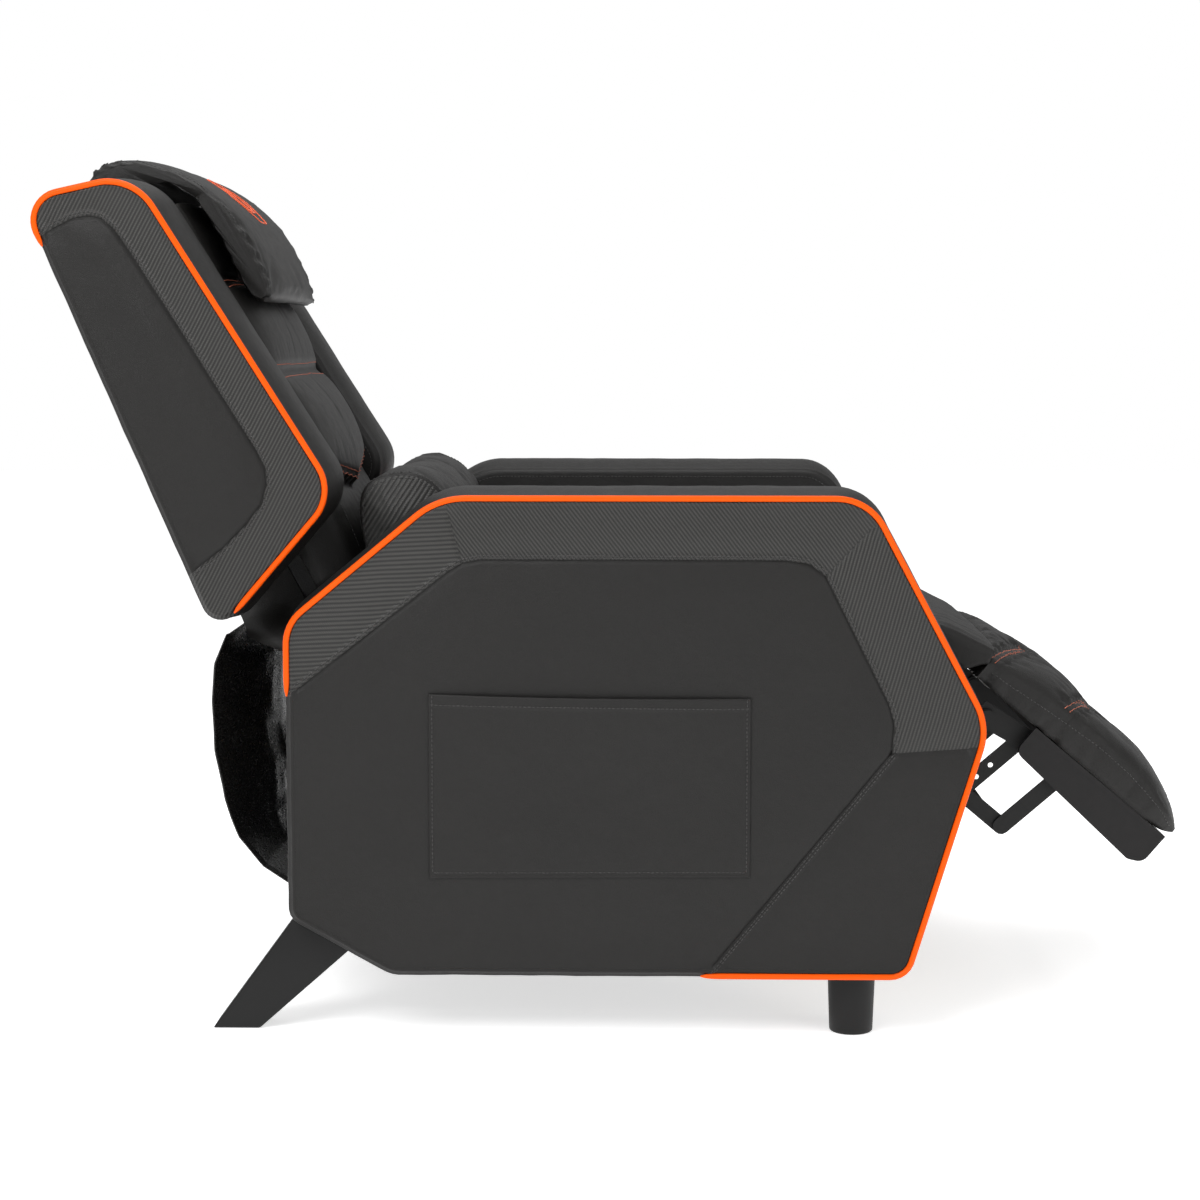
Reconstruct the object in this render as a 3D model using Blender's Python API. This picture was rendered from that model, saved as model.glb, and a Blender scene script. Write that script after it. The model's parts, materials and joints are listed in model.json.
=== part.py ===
"""Push-back reclining gaming chair: two padded arms, seat, hinged back and a footrest on a strap linkage.

Shapes are drawn in a side view: u runs forwards (towards the sitter's feet, world -Y) and z runs up.
"""

import math

import bpy
from mathutils import Vector

# ---- driving sizes, in metres ----
ARM_OUTER = 0.394
ARM_WIDTH = 0.124
ARM_TOP = 0.627
ARM_BOTTOM = 0.077
ARM_REAR = -0.417
ARM_NOSE = 0.381
SEAT_TOP = 0.468
SEAT_FRONT = 0.312
SEAT_REAR = -0.262
SEAT_HALF = 0.262
BACK_LEAN = 28.0
BACK_HALF = 0.357
BACK_TOP = 0.640
HINGE = (-0.300, 0.400)
PIPE = 0.0035
FIT = 0.0004
EDGE = 0.009
COVER = 0.012
LEG_FRONT = (ARM_OUTER - 0.059, 0.233)
LEG_TOP_RADIUS = 0.028
LEG_FOOT_RADIUS = 0.0255
REAR_LEG_WIDTH = 0.045
REAR_LEG_INSET = 0.094
HEAD_HALF = 0.198
WING_INNER = 0.2152
DRAWN_LEAN = 28.0

# ---- linkage: E is the visible elbow, the three straps above it stay parallel to each other ----
ELBOW = (0.418, 0.224)
LOWER_ANGLE = -40.0
STRAP_ANGLE = 41.0
LOWER_LENGTH = 0.125
STRAP_LENGTH = 0.100
STRAP_SPACING = 0.064
STAY_ALONG = 0.115
STAY_DROP = -0.010
STAY_FOOT = (0.300, 0.244)
STRAP_HALF = 0.010
STEEL = 0.003
LAYER = 0.004
OUTER_LAYER = 0.2385
STUD = 0.004
STUD_PLAY = 0.0003
STAY_PLAY = 0.0027
HEAD = 0.0065
HEAD_THICK = 0.0016

# ---- footrest cushion, measured along (p) and out from (q) the line of its pivots ----
PAD_START = -0.160
PAD_END = 0.146
PAD_SEAM = 0.040
PAD_SEAM_SIDE = -0.055
PAD_EDGE = 0.046
PAD_CROWN = 0.034
BOARD_LOW = 0.0125
BOARD_THICK = 0.006
FLAP_LENGTH = 0.072
FLAP_ANGLE = 153.8

COLOURS = {
    "leatherette": ((0.030, 0.029, 0.029, 1), 0.45, 0.0),
    "twill": ((0.045, 0.044, 0.043, 1), 0.55, 0.0),
    "piping": ((1.0, 0.130, 0.002, 1), 0.40, 0.0),
    "steel": ((0.018, 0.018, 0.018, 1), 0.50, 1.0),
    "wood": ((0.480, 0.330, 0.190, 1), 0.60, 0.0),
    "plastic": ((0.014, 0.014, 0.015, 1), 0.50, 0.0),
    "board": ((0.014, 0.013, 0.013, 1), 0.65, 0.0),
    "wire": ((0.350, 0.350, 0.360, 1), 0.35, 1.0),
    "lining": ((0.010, 0.010, 0.010, 1), 0.90, 0.0),
}


def heading(degrees):
    return Vector((math.cos(math.radians(degrees)), math.sin(math.radians(degrees))))


def on_back(s, t):
    """Side-view point s up the back from its hinge and t in front of it."""
    up = heading(90.0 + BACK_LEAN)
    out = heading(BACK_LEAN)
    return Vector(HINGE) + s * up + t * out


def leaned(u, z):
    """Side-view point given at the drawn lean, turned about the hinge to the lean in use."""
    place = Vector(HINGE) + rotated(Vector((u, z)) - Vector(HINGE), BACK_LEAN - DRAWN_LEAN)
    return place.x, place.y


def rotated(arrow, degrees):
    return arrow.x * heading(degrees) + arrow.y * heading(degrees + 90.0)


ELBOW_POINT = Vector(ELBOW)
LOWER_PIVOT = ELBOW_POINT - LOWER_LENGTH * heading(LOWER_ANGLE)
INNER_PIVOT = ELBOW_POINT - STRAP_SPACING * heading(LOWER_ANGLE)
TRAY_PIVOT = ELBOW_POINT + STRAP_LENGTH * heading(STRAP_ANGLE)
STAY_PIVOT = Vector(STAY_FOOT)


def on_tray(p, q):
    """Side-view point p down the footrest from its outer pivot and q out from the pivot line."""
    return TRAY_PIVOT + p * heading(LOWER_ANGLE) + q * heading(LOWER_ANGLE + 90.0)


FLAP_PIVOT = on_tray(PAD_START - 0.006, 0.052)
FRONT_MOST = on_tray(PAD_END, 0.035).x
REAR_MOST = -0.707
CENTRE = (FRONT_MOST + REAR_MOST) / 2

PIVOTS = {
    "base": None,
    "backrest": Vector(HINGE),
    "lower_links": LOWER_PIVOT,
    "inner_links": INNER_PIVOT,
    "outer_links": ELBOW_POINT,
    "stay_links": STAY_PIVOT,
    "footrest": TRAY_PIVOT,
    "flap": FLAP_PIVOT,
}
PARENTS = {
    "backrest": "base",
    "lower_links": "base",
    "inner_links": "lower_links",
    "outer_links": "lower_links",
    "stay_links": "base",
    "footrest": "outer_links",
    "flap": "footrest",
}


def world(x, u, z):
    return Vector((x, CENTRE - u, z))


def clear_scene():
    for obj in list(bpy.data.objects):
        bpy.data.objects.remove(obj, do_unlink=True)


def material(slot):
    found = bpy.data.materials.get(slot)
    if found:
        return found
    made = bpy.data.materials.new(slot)
    made.use_nodes = True
    shader = made.node_tree.nodes["Principled BSDF"]
    colour, rough, metal = COLOURS[slot]
    shader.inputs["Base Color"].default_value = colour
    shader.inputs["Roughness"].default_value = rough
    shader.inputs["Metallic"].default_value = metal
    made.diffuse_color = colour
    return made


def body_origin(body):
    pivot = PIVOTS[body]
    return Vector((0, 0, 0)) if pivot is None else world(0, pivot.x, pivot.y)


def make_bodies():
    for body in PIVOTS:
        empty = bpy.data.objects.new("pivot_" + body, None)
        bpy.context.scene.collection.objects.link(empty)
        parent = PARENTS.get(body)
        if parent:
            empty.parent = bpy.data.objects["pivot_" + parent]
            empty.location = body_origin(body) - body_origin(parent)


def add(name, slot, body, points, faces, helper=False):
    """Object whose origin is on its body's joint axis, from world points."""
    origin = body_origin(body)
    mesh = bpy.data.meshes.new(name)
    mesh.from_pydata([p - origin for p in points], [], faces)
    mesh.materials.append(material(slot))
    obj = bpy.data.objects.new(name, mesh)
    bpy.context.scene.collection.objects.link(obj)
    obj.parent = bpy.data.objects["pivot_" + body]
    if helper:
        obj.hide_render = True
        obj.display_type = "WIRE"
    return obj


def prism(name, slot, body, outline, x0, x1, helper=False):
    """Side-view outline pushed through from x0 to x1. Its faces point outwards whichever way it was drawn."""
    area = sum(a[0] * b[1] - b[0] * a[1] for a, b in zip(outline, outline[1:] + outline[:1]))
    drawn = list(outline) if area > 0 else list(reversed(outline))
    low, high = min(x0, x1), max(x0, x1)
    n = len(drawn)
    points = [world(low, u, z) for u, z in drawn] + [world(high, u, z) for u, z in drawn]
    faces = [list(range(n)), list(range(2 * n - 1, n - 1, -1))]
    faces += [[i, n + i, n + (i + 1) % n, (i + 1) % n] for i in range(n)]
    return add(name, slot, body, points, faces, helper)


def box(name, slot, body, x, u, z, helper=False):
    outline = [(u[0], z[0]), (u[1], z[0]), (u[1], z[1]), (u[0], z[1])]
    return prism(name, slot, body, outline, x[0], x[1], helper)


def circle(centre, radius, count=16):
    return [tuple(Vector(centre) + radius * heading(360.0 * (k + 0.5) / count)) for k in range(count)]


def rounded(corners, steps=5):
    """Closed outline through corners (u, z, radius), each turned into an arc."""
    outline = []
    n = len(corners)
    for i, (u, z, radius) in enumerate(corners):
        here = Vector((u, z))
        before = (Vector(corners[i - 1][:2]) - here).normalized()
        after = (Vector(corners[(i + 1) % n][:2]) - here).normalized()
        half = before.angle(after) / 2
        middle = here + (before + after).normalized() * (radius / math.sin(half))
        start = here + before * (radius / math.tan(half)) - middle
        finish = here + after * (radius / math.tan(half)) - middle
        turn = start.angle_signed(finish)
        for k in range(steps + 1):
            a = -turn * k / steps
            spun = Vector((start.x * math.cos(a) - start.y * math.sin(a), start.x * math.sin(a) + start.y * math.cos(a)))
            outline.append(tuple(middle + spun))
    return outline


def grown(outline, by):
    """The outline moved outwards by this much."""
    n = len(outline)
    area = sum(a[0] * b[1] - b[0] * a[1] for a, b in zip(outline, outline[1:] + outline[:1]))
    side = 1 if area > 0 else -1
    moved = []
    for i in range(n):
        a, b, c = Vector(outline[i - 1]), Vector(outline[i]), Vector(outline[(i + 1) % n])
        ab, bc = (b - a).normalized(), (c - b).normalized()
        n1, n2 = Vector((ab.y, -ab.x)) * side, Vector((bc.y, -bc.x)) * side
        mitre = (n1 + n2).normalized()
        moved.append(tuple(b + mitre * (by / max(0.3, mitre.dot(n1)))))
    return moved


def stretch(outline, start, finish):
    """The run of the outline, in its own direction, between the points nearest to start and finish."""
    def nearest(p):
        return min(range(len(outline)), key=lambda i: (Vector(outline[i]) - Vector(p)).length)

    i, j = nearest(start), nearest(finish)
    run = outline[i:j + 1] if i <= j else outline[i:] + outline[:j + 1]
    return [start] + run[1:-1] + [finish]


def tube(name, slot, body, path, radius, sides=8):
    """Round cord along world points."""
    rings = []
    count = len(path)
    side = None
    for i, p in enumerate(path):
        ahead = (path[min(i + 1, count - 1)] - path[max(i - 1, 0)]).normalized()
        if side is None:
            side = ahead.orthogonal().normalized()
        side = (side - ahead * side.dot(ahead)).normalized()
        other = ahead.cross(side)
        rings.append([p + radius * (math.cos(2 * math.pi * k / sides) * side + math.sin(2 * math.pi * k / sides) * other) for k in range(sides)])
    points = [p for ring in rings for p in ring]
    faces = [list(range(sides - 1, -1, -1)), [(count - 1) * sides + k for k in range(sides)]]
    for i in range(count - 1):
        for k in range(sides):
            a, b = i * sides + k, i * sides + (k + 1) % sides
            faces.append([a, b, b + sides, a + sides])
    return add(name, slot, body, points, faces)


def cushion(name, slot, body, rows, columns, lower, upper):
    """Closed block between two surfaces, each a function of row and column fractions giving a world point."""
    def grid(surface):
        return [surface(i / rows, -1 + 2 * j / columns) for i in range(rows + 1) for j in range(columns + 1)]

    wide = columns + 1
    many = (rows + 1) * wide
    points = grid(lower) + grid(upper)
    faces = []
    for i in range(rows):
        for j in range(columns):
            a = i * wide + j
            quad = [a, a + 1, a + wide + 1, a + wide]
            faces.append(quad)
            faces.append([many + k for k in reversed(quad)])
    rim = [j for j in range(columns)]
    rim += [i * wide + columns for i in range(rows)]
    rim += [rows * wide + j for j in range(columns, 0, -1)]
    rim += [i * wide for i in range(rows, 0, -1)]
    for a, b in zip(rim, rim[1:] + rim[:1]):
        faces.append([b, a, many + a, many + b])
    volume = 0.0
    for face in faces:
        for k in range(1, len(face) - 1):
            volume += points[face[0]].dot(points[face[k]].cross(points[face[k + 1]]))
    if volume < 0:
        faces = [list(reversed(face)) for face in faces]
    return add(name, slot, body, points, faces)


def bevel(obj, width, segments=2):
    made = obj.modifiers.new("soft edge", "BEVEL")
    made.width = width
    made.segments = segments
    made.limit_method = "ANGLE"
    made.angle_limit = math.radians(50)
    return obj


def combine(obj, tool, operation):
    made = obj.modifiers.new(operation.lower(), "BOOLEAN")
    made.operation = operation
    made.solver = "EXACT"
    made.object = tool
    return obj


def stud(obj, body, centre, inner, outer, head_inner, head_outer, radius=STUD, head=HEAD):
    """Pin with a head swaged on its end, joined to a strap. Both spans are x positions."""
    shank = prism(obj.name + "_shank%d" % len(obj.modifiers), "steel", body, circle(centre, radius), inner, outer, True)
    combine(obj, shank, "UNION")
    cap = prism(obj.name + "_head%d" % len(obj.modifiers), "steel", body, circle(centre, head), head_inner, head_outer, True)
    combine(obj, cap, "UNION")


def hole(obj, body, centre, radius, x0, x1):
    reach = 0.004 if x1 > x0 else -0.004
    cutter = prism(obj.name + "_hole%d" % len(obj.modifiers), "steel", body, circle(centre, radius), x0 - reach, x1 + reach, True)
    combine(obj, cutter, "DIFFERENCE")


def strap_outline(a, b, half, steps=6):
    """Round-ended bar between two side-view points."""
    a, b = Vector(a), Vector(b)
    along = math.degrees(math.atan2((b - a).y, (b - a).x))
    far = [tuple(b + half * heading(along - 90 + 180.0 * k / steps)) for k in range(steps + 1)]
    near = [tuple(a + half * heading(along + 90 + 180.0 * k / steps)) for k in range(steps + 1)]
    return far + near


ARM_OUTLINE = rounded([
    (ARM_REAR, 0.143, 0.020),
    (ARM_REAR, ARM_TOP - 0.144, 0.050),
    (-0.243, ARM_TOP, 0.090),
    (0.243, ARM_TOP, 0.062),
    (ARM_NOSE, 0.368, 0.070),
    (0.292, ARM_BOTTOM, 0.026),
    (-0.300, ARM_BOTTOM, 0.040),
])
WING_OUTLINE = rounded([
    (*leaned(-0.503, 0.464), 0.022),
    (*leaned(-0.716, 0.962), 0.034),
    (*leaned(-0.588, 0.990), 0.060),
    (*leaned(-0.362, 0.629), 0.050),
])


def arm(side, name):
    inner = ARM_OUTER - ARM_WIDTH
    cover = prism("arm_cover_" + name, "leatherette", "base", ARM_OUTLINE, side * inner, side * ARM_OUTER)
    bevel(cover, EDGE)
    cavity_outline = grown(ARM_OUTLINE, -COVER)
    cavity = prism("arm_cavity_" + name, "lining", "base", cavity_outline, side * (inner + COVER), side * (ARM_OUTER - COVER), True)
    combine(cover, cavity, "DIFFERENCE")
    mouth = box("arm_mouth_" + name, "lining", "base", (side * (inner + COVER), side * (ARM_OUTER - COVER)), (-0.285, 0.262), (ARM_BOTTOM - 0.02, ARM_BOTTOM + 0.05), True)
    combine(cover, mouth, "DIFFERENCE")
    low = inner + COVER + FIT
    panel_outline = grown(ARM_OUTLINE, -COVER - 0.004)
    panel = prism("arm_panel_" + name, "wood", "base", panel_outline, side * low, side * (low + 0.018))
    combine(panel, box("arm_panel_cut_" + name, "wood", "base", (side * (low - 0.01), side * (low + 0.03)), (-0.5, 0.5), (0.0, ARM_BOTTOM + COVER + 0.008), True), "DIFFERENCE")
    box("arm_board_" + name, "wood", "base", (side * (low + 0.0185), side * (ARM_OUTER - COVER - FIT)), (-0.284, 0.261), (ARM_BOTTOM + 0.001, ARM_BOTTOM + 0.016))
    box("arm_rail_" + name, "wood", "base", (side * (low + 0.0185), side * (ARM_OUTER - COVER - 0.006)), (-0.200, 0.200), (ARM_TOP - COVER - 0.045, ARM_TOP - COVER - 0.006))
    run = stretch(grown(ARM_OUTLINE, 0.0004), (ARM_REAR - 0.0004, 0.400), (0.061, ARM_BOTTOM - 0.0004))
    gap = (EDGE + PIPE + 0.0006) * math.sqrt(0.5)
    cord = [world(side * (ARM_OUTER - EDGE + gap), u, z) for u, z in grown_run(run, gap - EDGE)]
    tube("arm_piping_" + name, "piping", "base", cord, PIPE)


def grown_run(run, by):
    """An open run of a clockwise outline, moved outwards."""
    moved = []
    last = len(run) - 1
    for i, p in enumerate(run):
        a, b = Vector(run[max(i - 1, 0)]), Vector(run[min(i + 1, last)])
        ahead = (b - a).normalized()
        moved.append(tuple(Vector(p) + by * Vector((-ahead.y, ahead.x))))
    return moved


def pocket():
    """Flat pocket on the outside of the right arm, open along its top."""
    u0, u1, z0, z1 = -0.255, 0.112, 0.193, 0.405
    wall, depth, seam = 0.0025, 0.0065, 0.008
    face = -(ARM_OUTER + FIT)
    back = face - depth - wall
    shell = box("side_pocket_right", "leatherette", "base", (back, face), (u0, u1), (z0, z1))
    inside = box("side_pocket_inside", "leatherette", "base", (back + wall, face + 0.02), (u0 + seam, u1 - seam), (z0 + seam, z1 + 0.02), True)
    combine(shell, inside, "DIFFERENCE")


def legs(side, name):
    x, u = LEG_FRONT
    top = ARM_BOTTOM + 0.0006
    rings = [(0.0, LEG_FOOT_RADIUS - 0.003), (0.003, LEG_FOOT_RADIUS), (top, LEG_TOP_RADIUS)]
    count = 24
    points = []
    for z, radius in rings:
        points += [world(side * x + radius * math.cos(2 * math.pi * k / count), u + radius * math.sin(2 * math.pi * k / count), z) for k in range(count)]
    faces = [list(range(count)), [2 * count + k for k in reversed(range(count))]]
    for r in range(2):
        for k in range(count):
            a, b = r * count + k, r * count + (k + 1) % count
            faces.append([a, a + count, b + count, b])
    add("front_leg_" + name, "plastic", "base", points, faces)
    profile = [(-0.515, 0.0), (-0.460, 0.0), (-0.3447, 0.1020), (-0.400, 0.1322), (-0.4185, 0.1322)]
    inner = ARM_OUTER - REAR_LEG_INSET
    prism("rear_leg_" + name, "plastic", "base", profile, side * inner, side * (inner + REAR_LEG_WIDTH))


def seat():
    inner = ARM_OUTER - ARM_WIDTH - FIT
    box("front_rail", "wood", "base", (-inner, inner), (0.180, 0.2175), (0.130, 0.2995))
    box("rear_rail", "wood", "base", (-inner, inner), (-0.400, -0.368), (0.110, 0.270))
    for side, name in ((-1, "right"), (1, "left")):
        box("seat_rail_" + name, "steel", "base", (side * 0.185, side * 0.215), (-0.340, 0.285), (0.300, 0.362))
        box("rail_foot_" + name, "wood", "base", (side * 0.185, side * 0.215), (-0.367, -0.300), (0.110, 0.2995))
    box("seat_bar_front", "steel", "base", (-0.1845, 0.1845), (0.262, 0.285), (0.322, 0.362))
    box("seat_bar_rear", "steel", "base", (-0.1845, 0.1845), (-0.285, -0.262), (0.322, 0.362))
    for number, x in enumerate((-0.12, 0.0, 0.12), 1):
        bends = 12
        path = [world(x, -0.2615, 0.3655)]
        for k in range(bends):
            u = -0.245 + 0.490 * k / (bends - 1)
            swing = 0.022 if k % 2 else -0.022
            path.append(world(x + swing, u - 0.009, 0.3655))
            path.append(world(x + swing, u + 0.009, 0.3655))
        path.append(world(x, 0.2615, 0.3655))
        tube("seat_spring_%d" % number, "wire", "base", path, 0.0019, 6)
    thick_low = 0.3685

    def under(i, j):
        u = SEAT_REAR + (SEAT_FRONT - SEAT_REAR) * i
        return world(SEAT_HALF * j, u, thick_low + 0.004 * (1 - j * j))

    def over(i, j):
        u = SEAT_REAR + (SEAT_FRONT - SEAT_REAR) * i
        ends = min(1.0, min(i, 1 - i) / 0.09)
        sides = min(1.0, (1 - abs(j)) / 0.13)
        shoulder = math.sqrt(1 - (1 - ends) ** 2) * math.sqrt(1 - (1 - sides) ** 2)
        height = 0.045 + (SEAT_TOP - thick_low - 0.045) * shoulder + 0.012 * (1 - j * j) * shoulder
        return world(SEAT_HALF * j, u, thick_low + height)

    cushion("seat_cushion", "leatherette", "base", 20, 14, under, over)
    box("dust_cover", "lining", "base", (-0.250, 0.250), (-0.366, 0.178), (0.104, 0.106))


def curtain():
    """Sheet that closes the rear below the back, bellying out between its two hems."""
    path = [(-0.505, 0.455), (-0.519, 0.420), (-0.521, 0.375), (-0.518, 0.315), (-0.507, 0.258), (-0.489, 0.211), (-0.462, 0.176), (-0.425, 0.150), (-0.4015, 0.140)]
    thick = 0.0025
    back = grown_run(path, -thick)
    prism("rear_curtain", "leatherette", "base", path + list(reversed(back)), -SEAT_HALF, SEAT_HALF)


def back_half(s):
    """Half width of the middle of the back: wide between the arms, narrow between the wings."""
    wide, narrow = 0.250, 0.2145
    if s < 0.115:
        return wide
    if s < 0.145:
        return wide + (narrow - wide) * (s - 0.115) / 0.030
    return narrow


def back():
    low, high = 0.030, 0.625

    def place(i, j, t):
        s = low + (high - low) * i
        spot = on_back(s, t)
        return world(back_half(s) * j, spot.x, spot.y)

    def face(i, j):
        s = low + (high - low) * i
        seam = 0.235 + 0.030 * abs(j)
        t = 0.018
        if s > seam:
            pads = [(seam, 0.394), (0.394, 0.520), (0.520, 0.640)]
            first, last = [pad for pad in pads if pad[0] <= s][-1]
            middle = (s - first) / (last - first)
            puff = 0.020 if last < 0.6 else 0.0
            t = 0.030 + puff * max(0.0, 4 * middle * (1 - middle)) ** 0.6 * (1 - abs(j) ** 4)
        ends = min(1.0, min(i, 1 - i) / 0.05)
        t -= 0.02 * (1 - math.sqrt(1 - (1 - ends) ** 2))
        t -= 0.012 * max(0.0, abs(j) - 0.85) / 0.15
        return place(i, j, t)

    cushion("back_cushion", "leatherette", "backrest", 34, 10, lambda i, j: place(i, j, -0.0415), face)

    start = 0.042

    def cover_place(i, j, t):
        spot = on_back(start + (high - start) * i, t)
        return world(back_half(start + (high - start) * i) * j, spot.x, spot.y)

    def rear(i, j):
        s = start + (high - start) * i
        depth = -0.142 + 0.025 * max(0.0, min(1.0, (s - 0.13) / 0.5))
        if s < 0.131:
            depth = -0.062 - 0.080 * max(0.0, (s - start)) / (0.131 - start)
        return cover_place(i, j, depth)

    cushion("back_cover", "leatherette", "backrest", 14, 6, rear, lambda i, j: cover_place(i, j, -0.0605))
    corners = [on_back(0.048, -0.060), on_back(0.610, -0.060), on_back(0.610, -0.042), on_back(0.048, -0.042)]
    prism("back_frame", "wood", "backrest", [tuple(c) for c in corners], -0.2140, 0.2140)
    for side, name in ((-1, "right"), (1, "left")):
        wing = prism("back_wing_" + name, "leatherette", "backrest", WING_OUTLINE, side * WING_INNER, side * BACK_HALF)
        bevel(wing, EDGE)
        gap = (EDGE + PIPE + 0.0006) * math.sqrt(0.5)
        run = stretch(WING_OUTLINE, leaned(-0.6938, 0.9100), tuple(on_back(0.164, -0.118)))
        cord = [world(side * (BACK_HALF - EDGE + gap), u, z) for u, z in grown_run(run, gap - EDGE)]
        tube("back_piping_" + name, "piping", "backrest", cord, PIPE)
        arm_inner = ARM_OUTER - ARM_WIDTH
        plate = prism("recline_plate_" + name, "steel", "base", strap_outline(HINGE, (-0.300, 0.290), 0.018), side * (arm_inner - FIT - 0.0035), side * (arm_inner - FIT))
        bracket_x = 0.2545
        bracket = prism("back_bracket_" + name, "steel", "backrest", strap_outline(HINGE, tuple(on_back(0.105, -0.051)), 0.016), side * bracket_x, side * (bracket_x + 0.0035))
        pin_end = arm_inner - FIT - 0.0035 + 0.003
        hole(plate, "base", HINGE, 0.0060 + STUD_PLAY, side * (arm_inner - FIT - 0.0035), side * (arm_inner - FIT))
        stud(bracket, "backrest", HINGE, side * (bracket_x + 0.001), side * pin_end, side * (bracket_x + 0.0030), side * (bracket_x + 0.0080), 0.0060, 0.011)


def pillows():
    def head(i, j, outer):
        """Pillow draped over the top of the back: its sections run from its lower edge up and over."""
        bulge = max(0.0, 1 - abs(j) ** 5) ** 0.5
        a = math.radians(-6 + 96 * i)
        tips = max(0.0, min(1.0, i / 0.12, (1 - i) / 0.12))
        closing = math.sqrt(1 - (1 - tips) ** 2)
        squared = (abs(math.cos(a)) ** 5 + abs(math.sin(a)) ** 5) ** -0.2
        inner = Vector((0.500 + 0.158 * math.sin(a) * squared, -0.050 + 0.101 * math.cos(a) * squared))
        skin = Vector((0.500 + 0.225 * math.sin(a), -0.050 + 0.134 * math.cos(a)))
        full = 0.30 + 0.70 * (0.35 + 0.65 * bulge) * closing
        chosen = inner + (skin - inner) * full if outer else inner
        spot = on_back(chosen.x, chosen.y)
        return world(HEAD_HALF * j, spot.x, spot.y)

    cushion("head_pillow", "leatherette", "backrest", 16, 12, lambda i, j: head(i, j, False), lambda i, j: head(i, j, True))

    def blob(name, half, centre, along, size, flat, rows=14, columns=12):
        """Pillow with an oval section, lying across the back."""
        up = heading(90.0 + BACK_LEAN + along)
        out = heading(BACK_LEAN + along)
        middle = on_back(*centre)

        def section(i, j, sign):
            a = math.pi * (i - 0.5)
            bulge = max(0.0, 1 - abs(j) ** 6) ** 0.5
            height = size[0] * math.sin(a) * (0.86 + 0.14 * bulge)
            depth = size[1] * max(0.0, math.cos(a)) ** 0.8 * (flat + (1 - flat) * bulge) + 0.004
            spot = middle + up * height + out * (depth if sign > 0 else -depth * 0.62)
            return world(half * j, spot.x, spot.y)

        cushion(name, "leatherette", "backrest", rows, columns, lambda i, j: section(i, j, -1), lambda i, j: section(i, j, 1))

    blob("lumbar_pillow", 0.235, (0.150, 0.078), -12.0, (0.078, 0.072), 0.55)


def linkage(side, name):
    outer = OUTER_LAYER
    middle = outer - LAYER
    inner = middle - LAYER
    plate = inner - LAYER - 0.0005
    lift = heading(STRAP_ANGLE) * STRAP_LENGTH
    inner_top = INNER_PIVOT + lift
    stay_top = on_tray(-STAY_ALONG, STAY_DROP)

    def layer(x):
        return side * x, side * (x + STEEL)

    lower = prism("lower_link_" + name, "steel", "lower_links", strap_outline(LOWER_PIVOT, ELBOW_POINT, STRAP_HALF), *layer(middle))
    hole(lower, "lower_links", ELBOW_POINT, STUD + STUD_PLAY, *layer(middle))
    hole(lower, "lower_links", INNER_PIVOT, STUD + STUD_PLAY, *layer(middle))
    stud(lower, "lower_links", LOWER_PIVOT, side * (plate - 0.0015), side * (middle + 0.001), side * (plate - 0.0025), side * (plate - 0.0005))

    strap = prism("outer_link_" + name, "steel", "outer_links", strap_outline(ELBOW_POINT, TRAY_PIVOT, STRAP_HALF), *layer(outer))
    hole(strap, "outer_links", TRAY_PIVOT, STUD + STUD_PLAY, *layer(outer))
    stud(strap, "outer_links", ELBOW_POINT, side * (middle - 0.0010), side * (outer + 0.001), side * (middle - 0.0022), side * (middle - 0.0005))

    strap = prism("inner_link_" + name, "steel", "inner_links", strap_outline(INNER_PIVOT, inner_top, STRAP_HALF), *layer(inner))
    hole(strap, "inner_links", inner_top, STUD + STUD_PLAY, *layer(inner))
    for along in (0.026, 0.048):
        hole(strap, "inner_links", INNER_PIVOT + heading(STRAP_ANGLE) * along, 0.0032, *layer(inner))
    stud(strap, "inner_links", INNER_PIVOT, side * (inner + 0.001), side * (middle + STEEL + 0.0007), side * (middle + STEEL + 0.0002), side * (middle + STEEL + 0.0008))

    strap = prism("stay_link_" + name, "steel", "stay_links", strap_outline(STAY_PIVOT, stay_top, STRAP_HALF), *layer(outer))
    hole(strap, "stay_links", STAY_PIVOT, STUD + STUD_PLAY, *layer(outer))
    hole(strap, "stay_links", stay_top, STUD + STAY_PLAY, *layer(outer))

    outline = [(0.2180, 0.296), (0.2180, 0.232), (0.3080, 0.232), (0.3360, 0.290), (0.3360, 0.312), (0.3140, 0.318)]
    support = prism("side_plate_" + name, "steel", "base", outline, side * plate, side * (plate + 0.0035))
    hole(support, "base", LOWER_PIVOT, STUD + STUD_PLAY, side * plate, side * (plate + 0.0035))
    stud(support, "base", STAY_PIVOT, side * (plate + 0.001), side * (outer + STEEL + 0.0012), side * (outer + STEEL + 0.0004), side * (outer + STEEL + 0.0020))

    shape = [on_tray(*pq) for pq in ((-0.128, -0.021), (-0.100, -0.021), (-0.050, -0.012), (0.012, -0.012), (0.085, 0.000), (0.085, 0.0120), (-0.064, 0.0120), (-0.128, 0.0045))]
    bracket = prism("tray_bracket_" + name, "steel", "footrest", [tuple(c) for c in shape], *layer(middle))
    stud(bracket, "footrest", TRAY_PIVOT, side * (middle + 0.001), side * (outer + STEEL + 0.0012), side * (outer + STEEL + 0.0004), side * (outer + STEEL + 0.0020))
    stud(bracket, "footrest", inner_top, side * (middle + 0.001), side * (inner - 0.0010), side * (inner - 0.0020), side * (inner - 0.0004))
    stud(bracket, "footrest", stay_top, side * (middle + 0.001), side * (outer + STEEL + 0.0012), side * (outer + STEEL + 0.0004), side * (outer + STEEL + 0.0020), STUD, 0.0085)


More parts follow.
